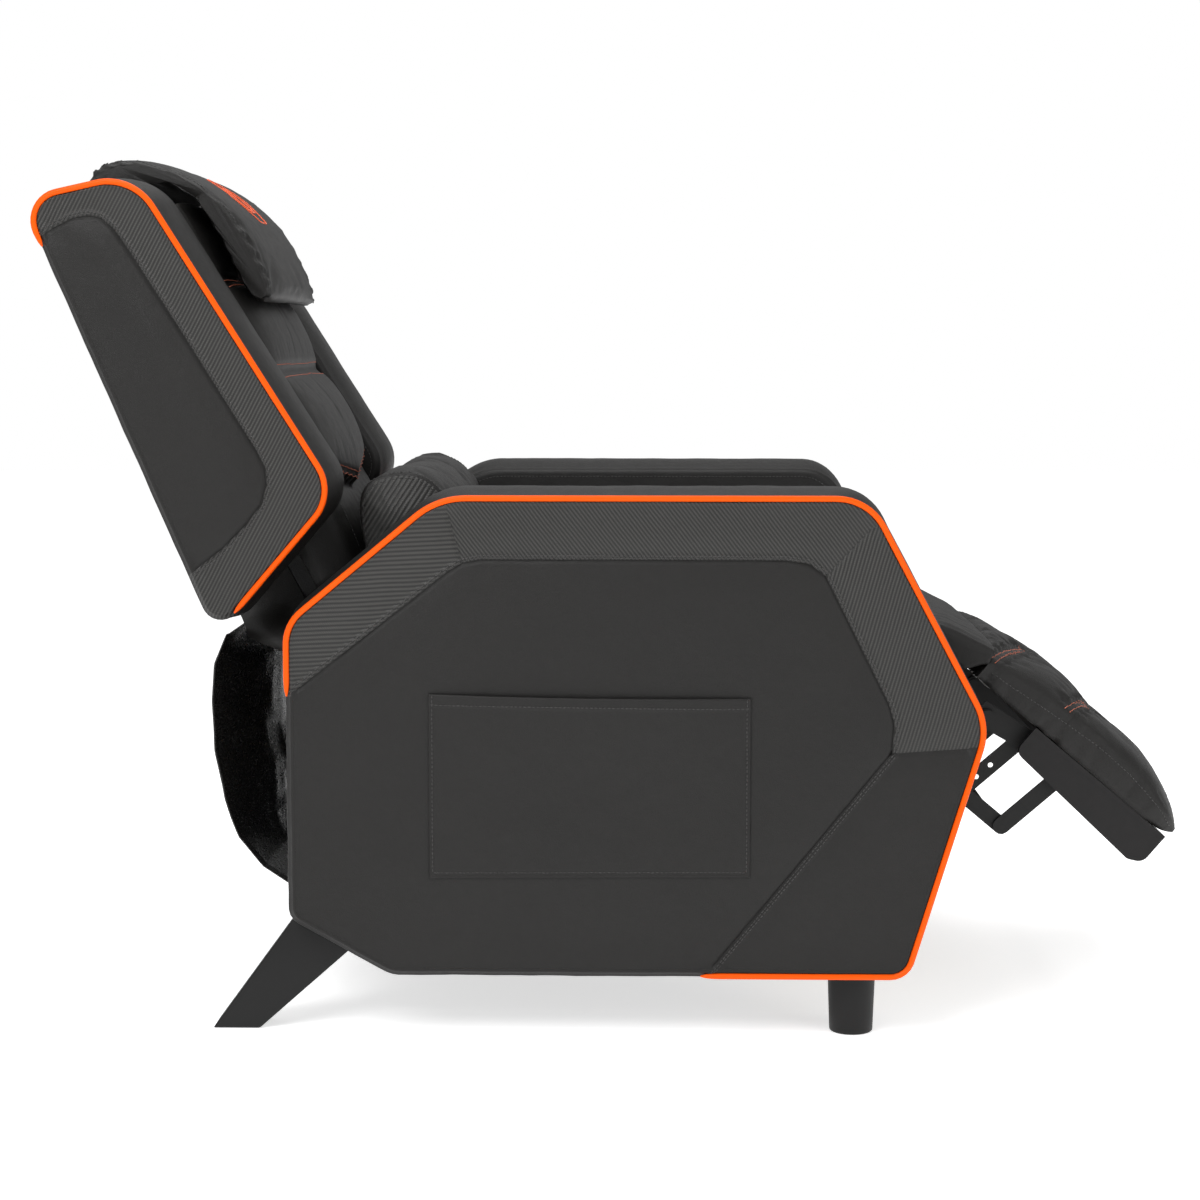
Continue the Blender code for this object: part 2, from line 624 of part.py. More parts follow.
def footrest():
    board_top = BOARD_LOW + BOARD_THICK
    plate = [on_tray(*pq) for pq in ((-0.066, BOARD_LOW), (0.137, BOARD_LOW), (0.137, board_top), (-0.066, board_top))]
    tray = prism("footrest_tray", "board", "footrest", [tuple(c) for c in plate], -0.2605, 0.2605)
    corners = [(-0.066, board_top - 0.001, 0.0005), (-0.066, -0.019, 0.012), (0.120, -0.031, 0.012), (0.137, -0.022, 0.014), (0.137, board_top - 0.001, 0.0005)]
    skirt = [on_tray(*pq) for pq in rounded(corners)]
    for side in (-1, 1):
        flank = prism("tray_flank_%d" % (side + 1), "board", "footrest", [tuple(c) for c in skirt], side * 0.2520, side * 0.2600, True)
        combine(tray, flank, "UNION")
    middle = OUTER_LAYER - LAYER
    along = LOWER_PIVOT + 0.095 * heading(LOWER_ANGLE)
    prism("torque_tube", "steel", "lower_links", circle(along, 0.008, 16), -(middle - FIT), middle - FIT)
    length = PAD_END - PAD_START

    def spot(i, j, q):
        p = PAD_START + length * i
        half = SEAT_HALF - 0.020 * max(0.0, (p - PAD_END + 0.050) / 0.050) ** 2
        place = on_tray(p, q)
        return world(half * j, place.x, place.y)

    def under(i, j):
        p = PAD_START + length * i
        rise = 0.010 * max(0.0, (p - PAD_END + 0.030) / 0.030) ** 2
        return spot(i, j, board_top + FIT + rise)

    def over(i, j):
        p = PAD_START + length * i
        sides = math.sqrt(max(0.0, 1 - abs(j) ** 3))
        start = min(1.0, i / 0.06)
        q = PAD_EDGE + (PAD_CROWN + 0.002) * sides - 0.010 * (1 - start)
        seam = PAD_SEAM + (PAD_SEAM_SIDE - PAD_SEAM) * abs(j)
        q -= 0.008 * math.exp(-((p - seam) / 0.010) ** 2)
        q -= 0.006 * max(0.0, (-p - 0.06) / 0.1)
        q -= 0.046 * max(0.0, (p - PAD_END + 0.115) / 0.115) ** 2.2 * (0.4 + 0.6 * sides)
        return spot(i, j, q)

    cushion("footrest_pad", "leatherette", "footrest", 24, 12, under, over)
    direction = heading(FLAP_ANGLE)
    normal = heading(FLAP_ANGLE - 90)

    def flap(i, j, lift):
        place = FLAP_PIVOT + direction * (0.0005 + FLAP_LENGTH * i) + normal * lift
        return world(SEAT_HALF * 0.985 * j, place.x, place.y)

    def flap_over(i, j):
        crown = 0.010 * (1 - j ** 4)
        return flap(i, j, 0.002 + crown - 0.003 * i * i)

    cushion("footrest_flap", "leatherette", "flap", 6, 10, lambda i, j: flap(i, j, -0.0044 - 0.001 * i), flap_over)


clear_scene()
make_bodies()
for SIDE, NAME in ((-1, "right"), (1, "left")):
    arm(SIDE, NAME)
    legs(SIDE, NAME)
    linkage(SIDE, NAME)
pocket()
seat()
curtain()
back()
pillows()
footrest()
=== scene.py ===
"""Push-back reclining gaming chair: soft goods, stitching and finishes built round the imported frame."""

import json
import math

import bpy
import numpy as np
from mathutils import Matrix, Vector, noise
from mathutils.bvhtree import BVHTree
from mathutils.geometry import delaunay_2d_cdt

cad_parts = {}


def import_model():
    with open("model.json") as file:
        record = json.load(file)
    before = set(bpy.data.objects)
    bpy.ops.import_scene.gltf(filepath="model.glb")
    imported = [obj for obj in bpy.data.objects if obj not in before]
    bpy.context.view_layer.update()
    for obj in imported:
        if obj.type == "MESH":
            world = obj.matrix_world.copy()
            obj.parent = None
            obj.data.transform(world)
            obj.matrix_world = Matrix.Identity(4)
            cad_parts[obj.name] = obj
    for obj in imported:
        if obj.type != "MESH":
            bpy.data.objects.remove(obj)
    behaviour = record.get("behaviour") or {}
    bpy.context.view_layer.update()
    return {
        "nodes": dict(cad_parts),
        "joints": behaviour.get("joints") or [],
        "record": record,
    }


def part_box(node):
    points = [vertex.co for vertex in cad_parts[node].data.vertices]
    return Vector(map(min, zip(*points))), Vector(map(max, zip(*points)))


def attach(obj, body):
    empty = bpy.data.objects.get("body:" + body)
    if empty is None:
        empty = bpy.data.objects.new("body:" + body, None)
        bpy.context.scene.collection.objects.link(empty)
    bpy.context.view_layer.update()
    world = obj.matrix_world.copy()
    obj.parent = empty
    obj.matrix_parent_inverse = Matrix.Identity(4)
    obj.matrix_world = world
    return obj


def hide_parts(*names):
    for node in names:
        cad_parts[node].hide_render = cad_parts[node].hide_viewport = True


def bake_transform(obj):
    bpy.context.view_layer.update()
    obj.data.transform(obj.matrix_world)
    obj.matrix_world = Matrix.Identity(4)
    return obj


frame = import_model()

bl_info = {
    "name": "Reclining gaming chair",
    "version": (1, 0, 0),
    "blender": (4, 5, 0),
    "location": "View3D > Sidebar > Chair",
    "description": "Builds the chair's upholstery, stitching and finishes, and a plain studio",
    "category": "Add Mesh",
}

SIDES = ((-1, "right"), (1, "left"))

# ---- the frame's own sizes, in metres; u runs forwards and z up ----
HINGE = (-0.300, 0.400)
CENTRE = frame["joints"][0]["pos_m"][1] + HINGE[0]
ARM_OUTER = 0.394
ARM_INNER = 0.270
ARM_TOP = 0.627
ARM_BOTTOM = 0.077
ARM_REAR = -0.417
SEAT_HALF = 0.262
BACK_LEAN = 28.0
BACK_HALF = 0.357
WING_INNER = 0.2152
EDGE = 0.009
TRAY_PIVOT = (0.4935, 0.2896)
TRAY_SLOPE = -40.0
FLAP_ANGLE = 153.8

# Outlines are corners of u, z and the radius of the arc there.
ARM_CORNERS = [
    (ARM_REAR, 0.143, 0.020), (ARM_REAR, 0.483, 0.050), (-0.243, ARM_TOP, 0.090), (0.243, ARM_TOP, 0.062),
    (0.381, 0.368, 0.070), (0.292, ARM_BOTTOM, 0.026), (-0.300, ARM_BOTTOM, 0.040),
]
WING_CORNERS = [
    (-0.503, 0.464, 0.022), (-0.716, 0.962, 0.034), (-0.588, 0.990, 0.060), (-0.362, 0.629, 0.050),
]
# Each seam runs through places u, z so that the patterned cloth is on its left.
ARM_SEAM = [(-0.413, 0.4015), (-0.232, 0.5430), (-0.2155, 0.5530), (-0.194, 0.5570), (0.150, 0.5565), (0.176, 0.5530),
            (0.195, 0.5390), (0.268, 0.3930), (0.2745, 0.3700), (0.272, 0.3370)]
ARM_LOWER_SEAM = [(0.272, 0.3370), (0.063, 0.079)]
ARM_SHORT_SEAMS = [[(-0.234, 0.618), (-0.2155, 0.5530)], [(0.256, 0.603), (0.195, 0.5390)],
                   [(0.272, 0.3370), (0.368, 0.3430)]]
WING_SEAM = [(-0.6995, 0.9170), (-0.680, 0.9300), (-0.659, 0.9405), (-0.640, 0.9440), (-0.626, 0.9415),
             (-0.611, 0.9290), (-0.595, 0.9060), (-0.538, 0.8160), (-0.489, 0.7370), (-0.453, 0.6790),
             (-0.4425, 0.6580), (-0.4410, 0.6400), (-0.4470, 0.6170), (-0.4660, 0.5920), (-0.492, 0.5660),
             (-0.5270, 0.5390)]

# ---- sewing and meshing, in metres ----
FELLED_ROWS = (0.0014, 0.0046)      # stitch rows beside a felled seam
ACCENT_SHIFT = 0.0038               # each row of accent stitches from its seam
PUCKER_SHIFT, PUCKER_WIDTH = 0.0058, 0.0026
SEAM_MESH = (-0.0060, -0.0028, -0.0011, 0.0011, 0.0030, 0.0052, 0.0066, 0.0090)
FINE_MESH, PLAIN_MESH = 0.0085, 0.014
COVER = {"quality": 5, "mass": 0.25, "tension_stiffness": 25, "compression_stiffness": 25, "shear_stiffness": 8,
         "bending_stiffness": 0.6, "tension_damping": 12, "compression_damping": 12, "vertex_group_mass": "sewn",
         "use_pressure": True}
COVER_FRAMES = 14


class ChairSizes(bpy.types.PropertyGroup):
    """Sizes of the trim that a user may change."""
    pipe: bpy.props.FloatProperty(name="Piping radius", description="Radius of the sewn-in piping", default=0.0035,
                                  unit="LENGTH")
    pitch: bpy.props.FloatProperty(name="Stitch pitch", description="Distance from one stitch to the next",
                                   default=0.0050, unit="LENGTH")
    thread: bpy.props.FloatProperty(name="Thread radius", description="Radius of the sewing thread", default=0.00055,
                                    unit="LENGTH")
    groove: bpy.props.FloatProperty(name="Seam depth", description="How far a seam draws the padding in",
                                    default=0.0024, unit="LENGTH")


class ChairColours(bpy.types.PropertyGroup):
    """Colours of the chair, as sRGB hex values."""
    leather: bpy.props.StringProperty(name="Leatherette", description="Main cover", default="#181716")
    twill_low: bpy.props.StringProperty(name="Twill valleys", description="Between the ribs of the patterned cloth",
                                        default="#191918")
    twill_high: bpy.props.StringProperty(name="Twill ribs", description="Ribs of the patterned cloth",
                                         default="#3A3937")
    piping: bpy.props.StringProperty(name="Piping", description="Piping and emblem", default="#F05500")
    accent: bpy.props.StringProperty(name="Accent thread", description="Thread of the decorated seams",
                                     default="#B4532E")
    thread: bpy.props.StringProperty(name="Thread", description="Thread of the plain seams", default="#232120")


def sizes():
    return bpy.context.scene.chair_sizes


def colours():
    return bpy.context.scene.chair_colours


# ---------------------------------------------------------------- places

def world(x, u, z):
    return Vector((x, CENTRE - u, z))


def heading(degrees):
    return Vector((math.cos(math.radians(degrees)), math.sin(math.radians(degrees))))


def on_back(s, t):
    """Side-view point s up the back from its hinge and t in front of it."""
    return Vector(HINGE) + s * heading(90 + BACK_LEAN) + t * heading(BACK_LEAN)


def on_tray(p, q):
    """Side-view point p down the footrest and q out from its pivot line."""
    return Vector(TRAY_PIVOT) + p * heading(TRAY_SLOPE) + q * heading(TRAY_SLOPE + 90)


def rounded(corners, steps=16):
    """Closed outline through corners (u, z, radius), each turned into an arc."""
    outline = []
    n = len(corners)
    for i, (u, z, radius) in enumerate(corners):
        here = Vector((u, z))
        before = (Vector(corners[i - 1][:2]) - here).normalized()
        after = (Vector(corners[(i + 1) % n][:2]) - here).normalized()
        half = before.angle(after) / 2
        middle = here + (before + after).normalized() * (radius / math.sin(half))
        start = here + before * (radius / math.tan(half)) - middle
        finish = here + after * (radius / math.tan(half)) - middle
        turn = start.angle_signed(finish)
        for k in range(steps + 1):
            a = -turn * k / steps
            spun = Vector((start.x * math.cos(a) - start.y * math.sin(a),
                           start.x * math.sin(a) + start.y * math.cos(a)))
            outline.append(tuple(middle + spun))
    return outline


def spaced(line, step, closed=False):
    """The line resampled at even distances of about this step."""
    points = np.array(list(line) + ([line[0]] if closed else []), float)
    lengths = np.linalg.norm(np.diff(points, axis=0), axis=1)
    at = np.concatenate([[0], np.cumsum(lengths)])
    count = max(2, int(round(at[-1] / step)) + (0 if closed else 1))
    where = np.linspace(0, at[-1], count, endpoint=not closed)
    return np.stack([np.interp(where, at, points[:, k]) for k in range(points.shape[1])], axis=1)


def outward(loop):
    """Unit vectors across a closed loop of points, pointing outwards."""
    ahead = np.roll(loop, -1, axis=0) - np.roll(loop, 1, axis=0)
    ahead /= np.linalg.norm(ahead, axis=1)[:, None]
    across = np.stack([ahead[:, 1], -ahead[:, 0]], axis=1)
    after = np.roll(loop, -1, axis=0)
    turning = (loop[:, 0] * after[:, 1] - after[:, 0] * loop[:, 1]).sum()
    return across if turning > 0 else -across


def away(points, line, closed=False):
    """Distance of each point from a line of points, and on which side it is: positive on the left."""
    line = np.array(line, float)
    if closed:
        line = np.concatenate([line, line[:1]])
    best = np.full(len(points), 1e9)
    side = np.zeros(len(points))
    for a, b in zip(line[:-1], line[1:]):
        run = b - a
        share = np.clip(((points - a) @ run) / (run @ run), 0, 1)
        offset = points - (a + share[:, None] * run)
        distance = np.linalg.norm(offset, axis=1)
        nearer = distance < best
        best[nearer] = distance[nearer]
        side[nearer] = (run[0] * (points[:, 1] - a[1]) - run[1] * (points[:, 0] - a[0]))[nearer]
    return best, np.sign(side)


def inside(points, loop):
    """Which points lie inside a closed loop."""
    found = np.zeros(len(points), bool)
    for a, b in zip(loop, np.roll(loop, -1, axis=0)):
        if a[1] == b[1]:
            continue
        spans = (a[1] > points[:, 1]) != (b[1] > points[:, 1])
        found ^= spans & (points[:, 0] < (b[0] - a[0]) * (points[:, 1] - a[1]) / (b[1] - a[1]) + a[0])
    return found


def leftward(line):
    """Unit vectors to the left of an open line of points."""
    ahead = np.gradient(line, axis=0)
    return np.stack([-ahead[:, 1], ahead[:, 0]], axis=1) / np.linalg.norm(ahead, axis=1)[:, None]


def beside(line, row):
    """The line moved to its left by row."""
    line = spaced(line, 0.004)
    return line + leftward(line) * row


def side_points(x, places):
    """World points of side-view places, all at x or each at its own."""
    return np.stack([np.broadcast_to(x, len(places)), CENTRE - places[:, 0], places[:, 1]], axis=1)


def smooth(value):
    value = np.clip(value, 0, 1)
    return value * value * (3 - 2 * value)


def hill(distance, width):
    return np.exp(-(distance / width) ** 2)


def puckers(gap):
    """The cloth drawn down on both sides of a seam, by distance from it."""
    return hill(gap - PUCKER_SHIFT, PUCKER_WIDTH) + hill(gap + PUCKER_SHIFT, PUCKER_WIDTH)


def rumple(points, scale, seed):
    """Smooth noise from -1 to 1 at each point."""
    return np.array([noise.noise(Vector((p[0] * scale + seed, p[1] * scale, (p[2] if len(p) > 2 else 0) * scale)))
                     for p in points])


# ---------------------------------------------------------------- making meshes

def deselect():
    if bpy.context.mode != "OBJECT":
        bpy.ops.object.mode_set(mode="OBJECT")
    bpy.ops.object.select_all(action="DESELECT")


def active(obj):
    deselect()
    obj.select_set(True)
    bpy.context.view_layer.objects.active = obj


def coordinates(obj):
    co = np.empty(len(obj.data.vertices) * 3)
    obj.data.vertices.foreach_get("co", co)
    return co.reshape(-1, 3)


def put(obj, co):
    obj.data.vertices.foreach_set("co", np.asarray(co, np.float64).ravel())
    obj.data.update()


def grid(name, rows, columns, place):
    """Grid primitive whose points are placed by a function of two arrays of fractions, giving x, u, z."""
    deselect()
    bpy.ops.mesh.primitive_grid_add(x_subdivisions=columns, y_subdivisions=rows, size=1)
    obj = bpy.context.object
    obj.name = name
    co = coordinates(obj)
    x, u, z = place(co[:, 1] + 0.5, co[:, 0] + 0.5)
    put(obj, np.stack([x, CENTRE - u, z], axis=1))
    return obj


def joined(name, parts, merge=0.00004):
    """The parts as one object with its faces pointing outwards, and with doubles this close merged."""
    active(parts[0])
    for part in parts:
        part.select_set(True)
    if len(parts) > 1:
        bpy.ops.object.join()
    obj = bpy.context.object
    obj.name = name
    obj.data.name = name
    bpy.ops.object.mode_set(mode="EDIT")
    bpy.ops.mesh.select_all(action="SELECT")
    if merge:
        bpy.ops.mesh.remove_doubles(threshold=merge)
    bpy.ops.mesh.normals_make_consistent(inside=False)
    bpy.ops.object.mode_set(mode="OBJECT")
    bpy.ops.object.shade_smooth()
    return obj


def mesh_object(name, points, faces):
    mesh = bpy.data.meshes.new(name)
    mesh.from_pydata([tuple(p) for p in points], [], faces)
    obj = bpy.data.objects.new(name, mesh)
    bpy.context.scene.collection.objects.link(obj)
    return obj


def tube(rows, around):
    """Quads between rings of points that follow one another."""
    faces = []
    for r in range(rows - 1):
        for i in range(around):
            a, b = r * around + i, r * around + (i + 1) % around
            faces.append([a, b, b + around, a + around])
    return faces


def creased(obj, *waves, extra=0.0):
    """Moves each point along its normal by smooth noise. Each wave is a depth, a scale and a seed."""
    co = coordinates(obj)
    normals = np.array([v.normal[:] for v in obj.data.vertices])
    lift = extra + sum(depth * rumple(co, scale, seed) for depth, scale, seed in waves)
    put(obj, co + normals * lift[:, None])


def thickened(sheet, thickness, offset):
    active(sheet)
    shell = sheet.modifiers.new("cloth", "SOLIDIFY")
    shell.thickness = thickness
    shell.offset = offset
    bpy.ops.object.modifier_apply(modifier=shell.name)
    bpy.ops.object.shade_smooth()


def pick(obj, chosen):
    """Numbers each face's material from the face centres."""
    centres = np.array([f.center[:] for f in obj.data.polygons])
    obj.data.polygons.foreach_set("material_index", chosen(centres).astype(np.int32))
    obj.data.update()


def pick_side(obj, outer, regions):
    """The same for the outer face of an arm or a wing, whose regions are given in side view."""
    pick(obj, lambda c: np.where(np.abs(c[:, 0]) > outer - 0.005,
                                 regions(np.stack([CENTRE - c[:, 1], c[:, 2]], axis=1)), 0))


def panel(loop, seams, spacing, rows):
    """Triangles that fill a closed loop, with points along each seam and in rows beside it."""
    points = [tuple(p) for p in loop]
    edges = [(i, (i + 1) % len(points)) for i in range(len(points))]
    bounds = np.array(loop)
    for seam in seams:
        line = spaced(seam, 0.0045)
        line = line[inside(line, bounds) & (away(line, bounds, True)[0] > 0.0012)]
        first = len(points)
        points += [tuple(p) for p in line]
        edges += [(first + i, first + i + 1) for i in range(len(line) - 1)]
        across = leftward(line)
        for row in rows:
            moved = line + across * row
            clear = away(moved, bounds, True)[0] > 0.0015
            for other in seams:
                limit = 0.0007 if other is not seam else abs(row) * 0.8
                clear &= away(moved, other)[0] > limit
            points += [tuple(p) for p in moved[inside(moved, bounds) & clear]]
    low, high = bounds.min(0), bounds.max(0)
    fill = []
    for k, z in enumerate(np.arange(low[1], high[1], spacing * 0.866)):
        u = np.arange(low[0] + (k % 2) * spacing / 2, high[0], spacing)
        fill.append(np.stack([u, np.full_like(u, z)], axis=1))
    fill = np.concatenate(fill)
    fill = fill[inside(fill, bounds)]
    fill = fill[away(fill, bounds, True)[0] > spacing * 0.45]
    reach = max([abs(r) for r in rows] or [0]) + spacing * 0.45
    for seam in seams:
        fill = fill[away(fill, seam)[0] > reach]
    points += [tuple(p) for p in fill]
    verts, _, faces, *_ = delaunay_2d_cdt([Vector(p) for p in points], edges, [list(range(len(loop)))], 1, 1e-7)
    return np.array([tuple(v) for v in verts]), [list(f) for f in faces]


def side_shell(name, side, loop, outer, inner, relief, seams, crown):
    """Closed padded shell: a seamed outer panel, rounded edges, a crowned strip across and a plain inner panel."""
    across = outward(loop)
    rim = loop - across * EDGE
    verts, faces = panel(rim, seams, FINE_MESH, SEAM_MESH)
    parts = [mesh_object(name + "_face", side_points(side * (outer + relief(verts)), verts), faces)]
    rings = []
    edge_lift = relief(rim)
    for angle in np.linspace(0, 90, 13):
        a = math.radians(angle)
        radius = EDGE + 0.0013 * (hill(angle - 18, 11) + hill(angle - 72, 11))
        rings.append((rim + across * radius * math.sin(a),
                      outer - EDGE + radius * math.cos(a) + edge_lift * (1 - angle / 90)))
    count = 14
    low, high = inner + EDGE, outer - EDGE
    for k in range(1, count):
        v = k / count
        rise = crown(loop) * (1 - abs(2 * v - 1) ** 2.6)
        rings.append((loop + across * rise[:, None], high + (low - high) * v))
    for angle in np.linspace(90, 0, 9):
        a = math.radians(angle)
        radius = EDGE - 0.0016 * hill(angle - 45, 12)
        rings.append((rim + across * radius * math.sin(a), inner + EDGE - radius * math.cos(a)))
    band = np.concatenate([side_points(side * x, places) for places, x in rings])
    parts.append(mesh_object(name + "_band", band, tube(len(rings), len(loop))))
    verts, faces = panel(rim, [], PLAIN_MESH, ())
    swell = 0.004 * (1 - hill(away(verts, rim, True)[0], 0.035))
    parts.append(mesh_object(name + "_inside", side_points(side * (inner - swell * 0.5), verts), faces))
    shell = joined(name, parts)
    creased(shell, (0.0006, 22, 3.1 * side), (0.0003, 55, 7.7 * side))
    return shell


def cord_mesh(name, path, radius, sides=14, taper=4):
    """Round welt along world points, its ends drawn in."""
    path = np.asarray(path, float)
    count = len(path)
    rings, normal = [], None
    for i in range(count):
        ahead = Vector(path[min(i + 1, count - 1)] - path[max(i - 1, 0)]).normalized()
        if normal is None:
            normal = ahead.orthogonal().normalized()
        normal = (normal - ahead * normal.dot(ahead)).normalized()
        other = ahead.cross(normal)
        end = min(i, count - 1 - i)
        r = radius * min(1.0, math.sqrt(1 - (1 - min(1.0, (end + 0.15) / taper)) ** 2))
        for k in range(sides):
            a = 2 * math.pi * k / sides
            rings.append(path[i] + r * np.array(math.cos(a) * normal + math.sin(a) * other))
    ends = [list(range(sides - 1, -1, -1)), [(count - 1) * sides + k for k in range(sides)]]
    cord = mesh_object(name, rings, ends + tube(count, sides))
    active(cord)
    bpy.ops.object.shade_smooth()
    return cord


def surface_of(obj):
    return BVHTree.FromPolygons([v.co.copy() for v in obj.data.vertices],
                                [list(p.vertices) for p in obj.data.polygons])


def stitched(name, surface, paths, thread, body, pitch=None, share=0.68, sink=0.1, radius=None):
    """Short raised threads at even steps along paths that lie on a surface. All of them are one piece."""
    pitch = pitch or sizes().pitch
    radius = radius or sizes().thread
    points, faces = [], []
    template = ((-0.5, 0.0), (-0.42, 0.75), (0.0, 1.0), (0.42, 0.75), (0.5, 0.0))
    for path in paths:
        line = spaced([tuple(p) for p in path], pitch)
        for a, b in zip(line[:-1], line[1:]):
            middle, normal, _, _ = surface.find_nearest(Vector((a + b) / 2))
            along = Vector(b - a)
            along = along - normal * along.dot(normal)
            if along.length < pitch * 0.3:
                continue
            along.normalize()
            across = normal.cross(along)
            length = pitch * share
            first = len(points)
            for at, size in template:
                for k in range(6):
                    angle = math.pi * k / 3
                    thick = radius * max(size, 0.25)
                    rise = math.sin(angle) * thick + radius * (1 - sink) * size - radius * 0.4
                    points.append(middle + along * at * length + across * math.cos(angle) * thick + normal * rise)
            for r in range(4):
                for k in range(6):
                    c, d = first + r * 6 + k, first + r * 6 + (k + 1) % 6
                    faces.append([c, c + 6, d + 6, d])
            faces.append([first + k for k in range(6)])
            faces.append([first + 24 + k for k in range(5, -1, -1)])
    stitches = joined(name, [mesh_object(name, points, faces)], merge=0)
    return dress(stitches, body, [thread])


def puffed(obj, pinned, pressure, spare, cap):
    """Cloth run that fills a sewn cover: pinned points stay, the rest swells and gathers, at most by the cap."""
    active(obj)
    before = coordinates(obj)
    group = obj.vertex_groups.new(name="sewn")
    for i in np.nonzero(pinned > 0.01)[0]:
        group.add([int(i)], float(min(1.0, pinned[i])), "REPLACE")
    cloth = obj.modifiers.new("cover", "CLOTH")
    for key, value in COVER.items():
        setattr(cloth.settings, key, value)
    cloth.settings.uniform_pressure_force = pressure
    cloth.settings.shrink_min = -spare
    cloth.settings.effector_weights.gravity = 0
    cloth.collision_settings.use_collision = False
    scene = bpy.context.scene
    scene.frame_start = 1
    for f in range(1, COVER_FRAMES + 1):
        scene.frame_set(f)
    bpy.ops.object.modifier_apply(modifier=cloth.name)
    scene.frame_set(1)
    obj.vertex_groups.clear()
    moved = coordinates(obj) - before
    length = np.maximum(np.linalg.norm(moved, axis=1), 1e-9)
    put(obj, before + moved * (cap * np.tanh(length / cap) / length)[:, None])


def dress(obj, body, materials, nodes=()):
    """Gives a finished piece its materials, the nodes it stands for and the body it rides on."""
    obj.data.materials.clear()
    for made in materials:
        obj.data.materials.append(made)
    if nodes:
        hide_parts(*nodes)
    if body:
        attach(obj, body)
    return obj


def slab(name, rows, columns, front, floor, wrap, place):
    """Closed cushion: a shaped face that turns down at its rim to a flat underside.

    front gives two coordinates and a height for row fractions 0 to 1 and column fractions -1 to 1.
    """
    def turned(down, across, under):
        i = down * (1 + 2 * wrap) - wrap
        j = (across * 2 - 1) * (1 + wrap)
        ic, jc = np.clip(i, 0, 1), np.clip(j, -1, 1)
        over = np.maximum(np.maximum(-i, i - 1), np.abs(j) - 1)
        share = np.clip(over / wrap, 0, 1)
        a, b, height = front(ic, jc)
        share = np.ones_like(share) if under else share
        base = floor(ic, jc) if callable(floor) else floor
        return place(a, b, height * (1 - share) + base * share)

    top = grid(name + "_top", rows, columns, lambda i, j: turned(i, j, False))
    low = grid(name + "_low", rows, columns, lambda i, j: turned(i, j, True))
    return joined(name, [top, low])


def rings_piece(name, rings, plain_ends=False):
    """Closed piece through rings of world points, with a fan or one plain face at each end."""
    n, base = len(rings[0]), (len(rings) - 1) * len(rings[0])
    points, faces = np.concatenate(rings), tube(len(rings), n)
    if plain_ends:
        faces += [list(range(n - 1, -1, -1)), list(range(base, base + n))]
    else:
        first, last = len(points), len(points) + 1
        points = np.concatenate([points, [rings[0].mean(0), rings[-1].mean(0)]])
        for i in range(n):
            j = (i + 1) % n
            faces += [[j, i, first], [base + i, base + j, last]]
    return joined(name, [mesh_object(name, points, faces)])


# ---------------------------------------------------------------- finishes

def linear(code):
    """sRGB hex to linear RGBA."""
    parts = [int(code[i:i + 2], 16) / 255 for i in (1, 3, 5)]
    return tuple(c / 12.92 if c <= 0.04045 else ((c + 0.055) / 1.055) ** 2.4 for c in parts) + (1.0,)


def add(tree, kind, inputs=None, **settings):
    """Adds a shader node with its settings and links."""
    made = tree.nodes.new("ShaderNode" + kind)
    for key, value in settings.items():
        setattr(made, key, value)
    for key, value in (inputs or {}).items():
        if isinstance(value, bpy.types.NodeSocket):
            tree.links.new(value, made.inputs[key])
        else:
            made.inputs[key].default_value = value
    return made


def blank(name, **values):
    """New material: its tree, its shader and the object's coordinates."""
    made = bpy.data.materials.new(name)
    made.use_nodes = True
    tree = made.node_tree
    shader = tree.nodes["Principled BSDF"]
    for key, value in values.items():
        shader.inputs[key.replace("_", " ")].default_value = value
    where = add(tree, "TexCoord").outputs["Object"]
    return made, tree, shader, where


def coated(tree, shader, tint, rough=None, bumps=()):
    """Joins a finish to its shader.

    tint is a factor and two colours, rough a factor and two roughnesses, and a bump a height and its depth in metres.
    """
    factor, low, high = tint
    mix = add(tree, "Mix", {0: factor, 6: low, 7: high}, data_type="RGBA")
    tree.links.new(mix.outputs[2], shader.inputs["Base Color"])
    if rough:
        spread = add(tree, "MapRange", dict(zip((0, 3, 4), rough)))
        tree.links.new(spread.outputs[0], shader.inputs["Roughness"])
    normal = {}
    for height, depth in bumps:
        bump = add(tree, "Bump", {"Height": height, "Distance": depth, "Strength": 1.0, **normal})
        normal = {"Normal": bump.outputs["Normal"]}
    tree.links.new(normal["Normal"], shader.inputs["Normal"])


def shaded(code, factor):
    return tuple(c * factor for c in linear(code)[:3]) + (1.0,)


def leatherette(name="pvc_leatherette_embossed", uv_map=None, dull=0.40, shine=0.28):
    """PVC-coated cloth, embossed with a fine hide grain: satin, with soft wide highlights."""
    made, tree, shader, where = blank(name, IOR=1.5, Metallic=0.0, Specular_IOR_Level=shine)
    if uv_map:
        where = add(tree, "UVMap", uv_map=uv_map).outputs[0]
    # Real grain cells are 0.8 to 1.2 mm; drawn at 1.7 mm so that they show.
    grain = add(tree, "TexVoronoi", {"Vector": where, "Scale": 600.0}, feature="DISTANCE_TO_EDGE")
    cells = add(tree, "MapRange", {0: grain.outputs["Distance"], 2: 0.25}).outputs[0]
    creases = add(tree, "TexNoise", {"Vector": where, "Scale": 70.0, "Detail": 5.0, "Roughness": 0.6}).outputs[0]
    cloudy = add(tree, "TexNoise", {"Vector": where, "Scale": 7.0, "Detail": 3.0}).outputs[0]
    rough = add(tree, "Math", {0: creases, 1: 0.16, 2: dull}, operation="MULTIPLY_ADD").outputs[0]
    tree.links.new(rough, shader.inputs["Roughness"])
    coated(tree, shader, (cloudy, shaded(colours().leather, 0.86), shaded(colours().leather, 1.16)),
           bumps=[(cells, 0.00010), (creases, 0.0006)])
    return made


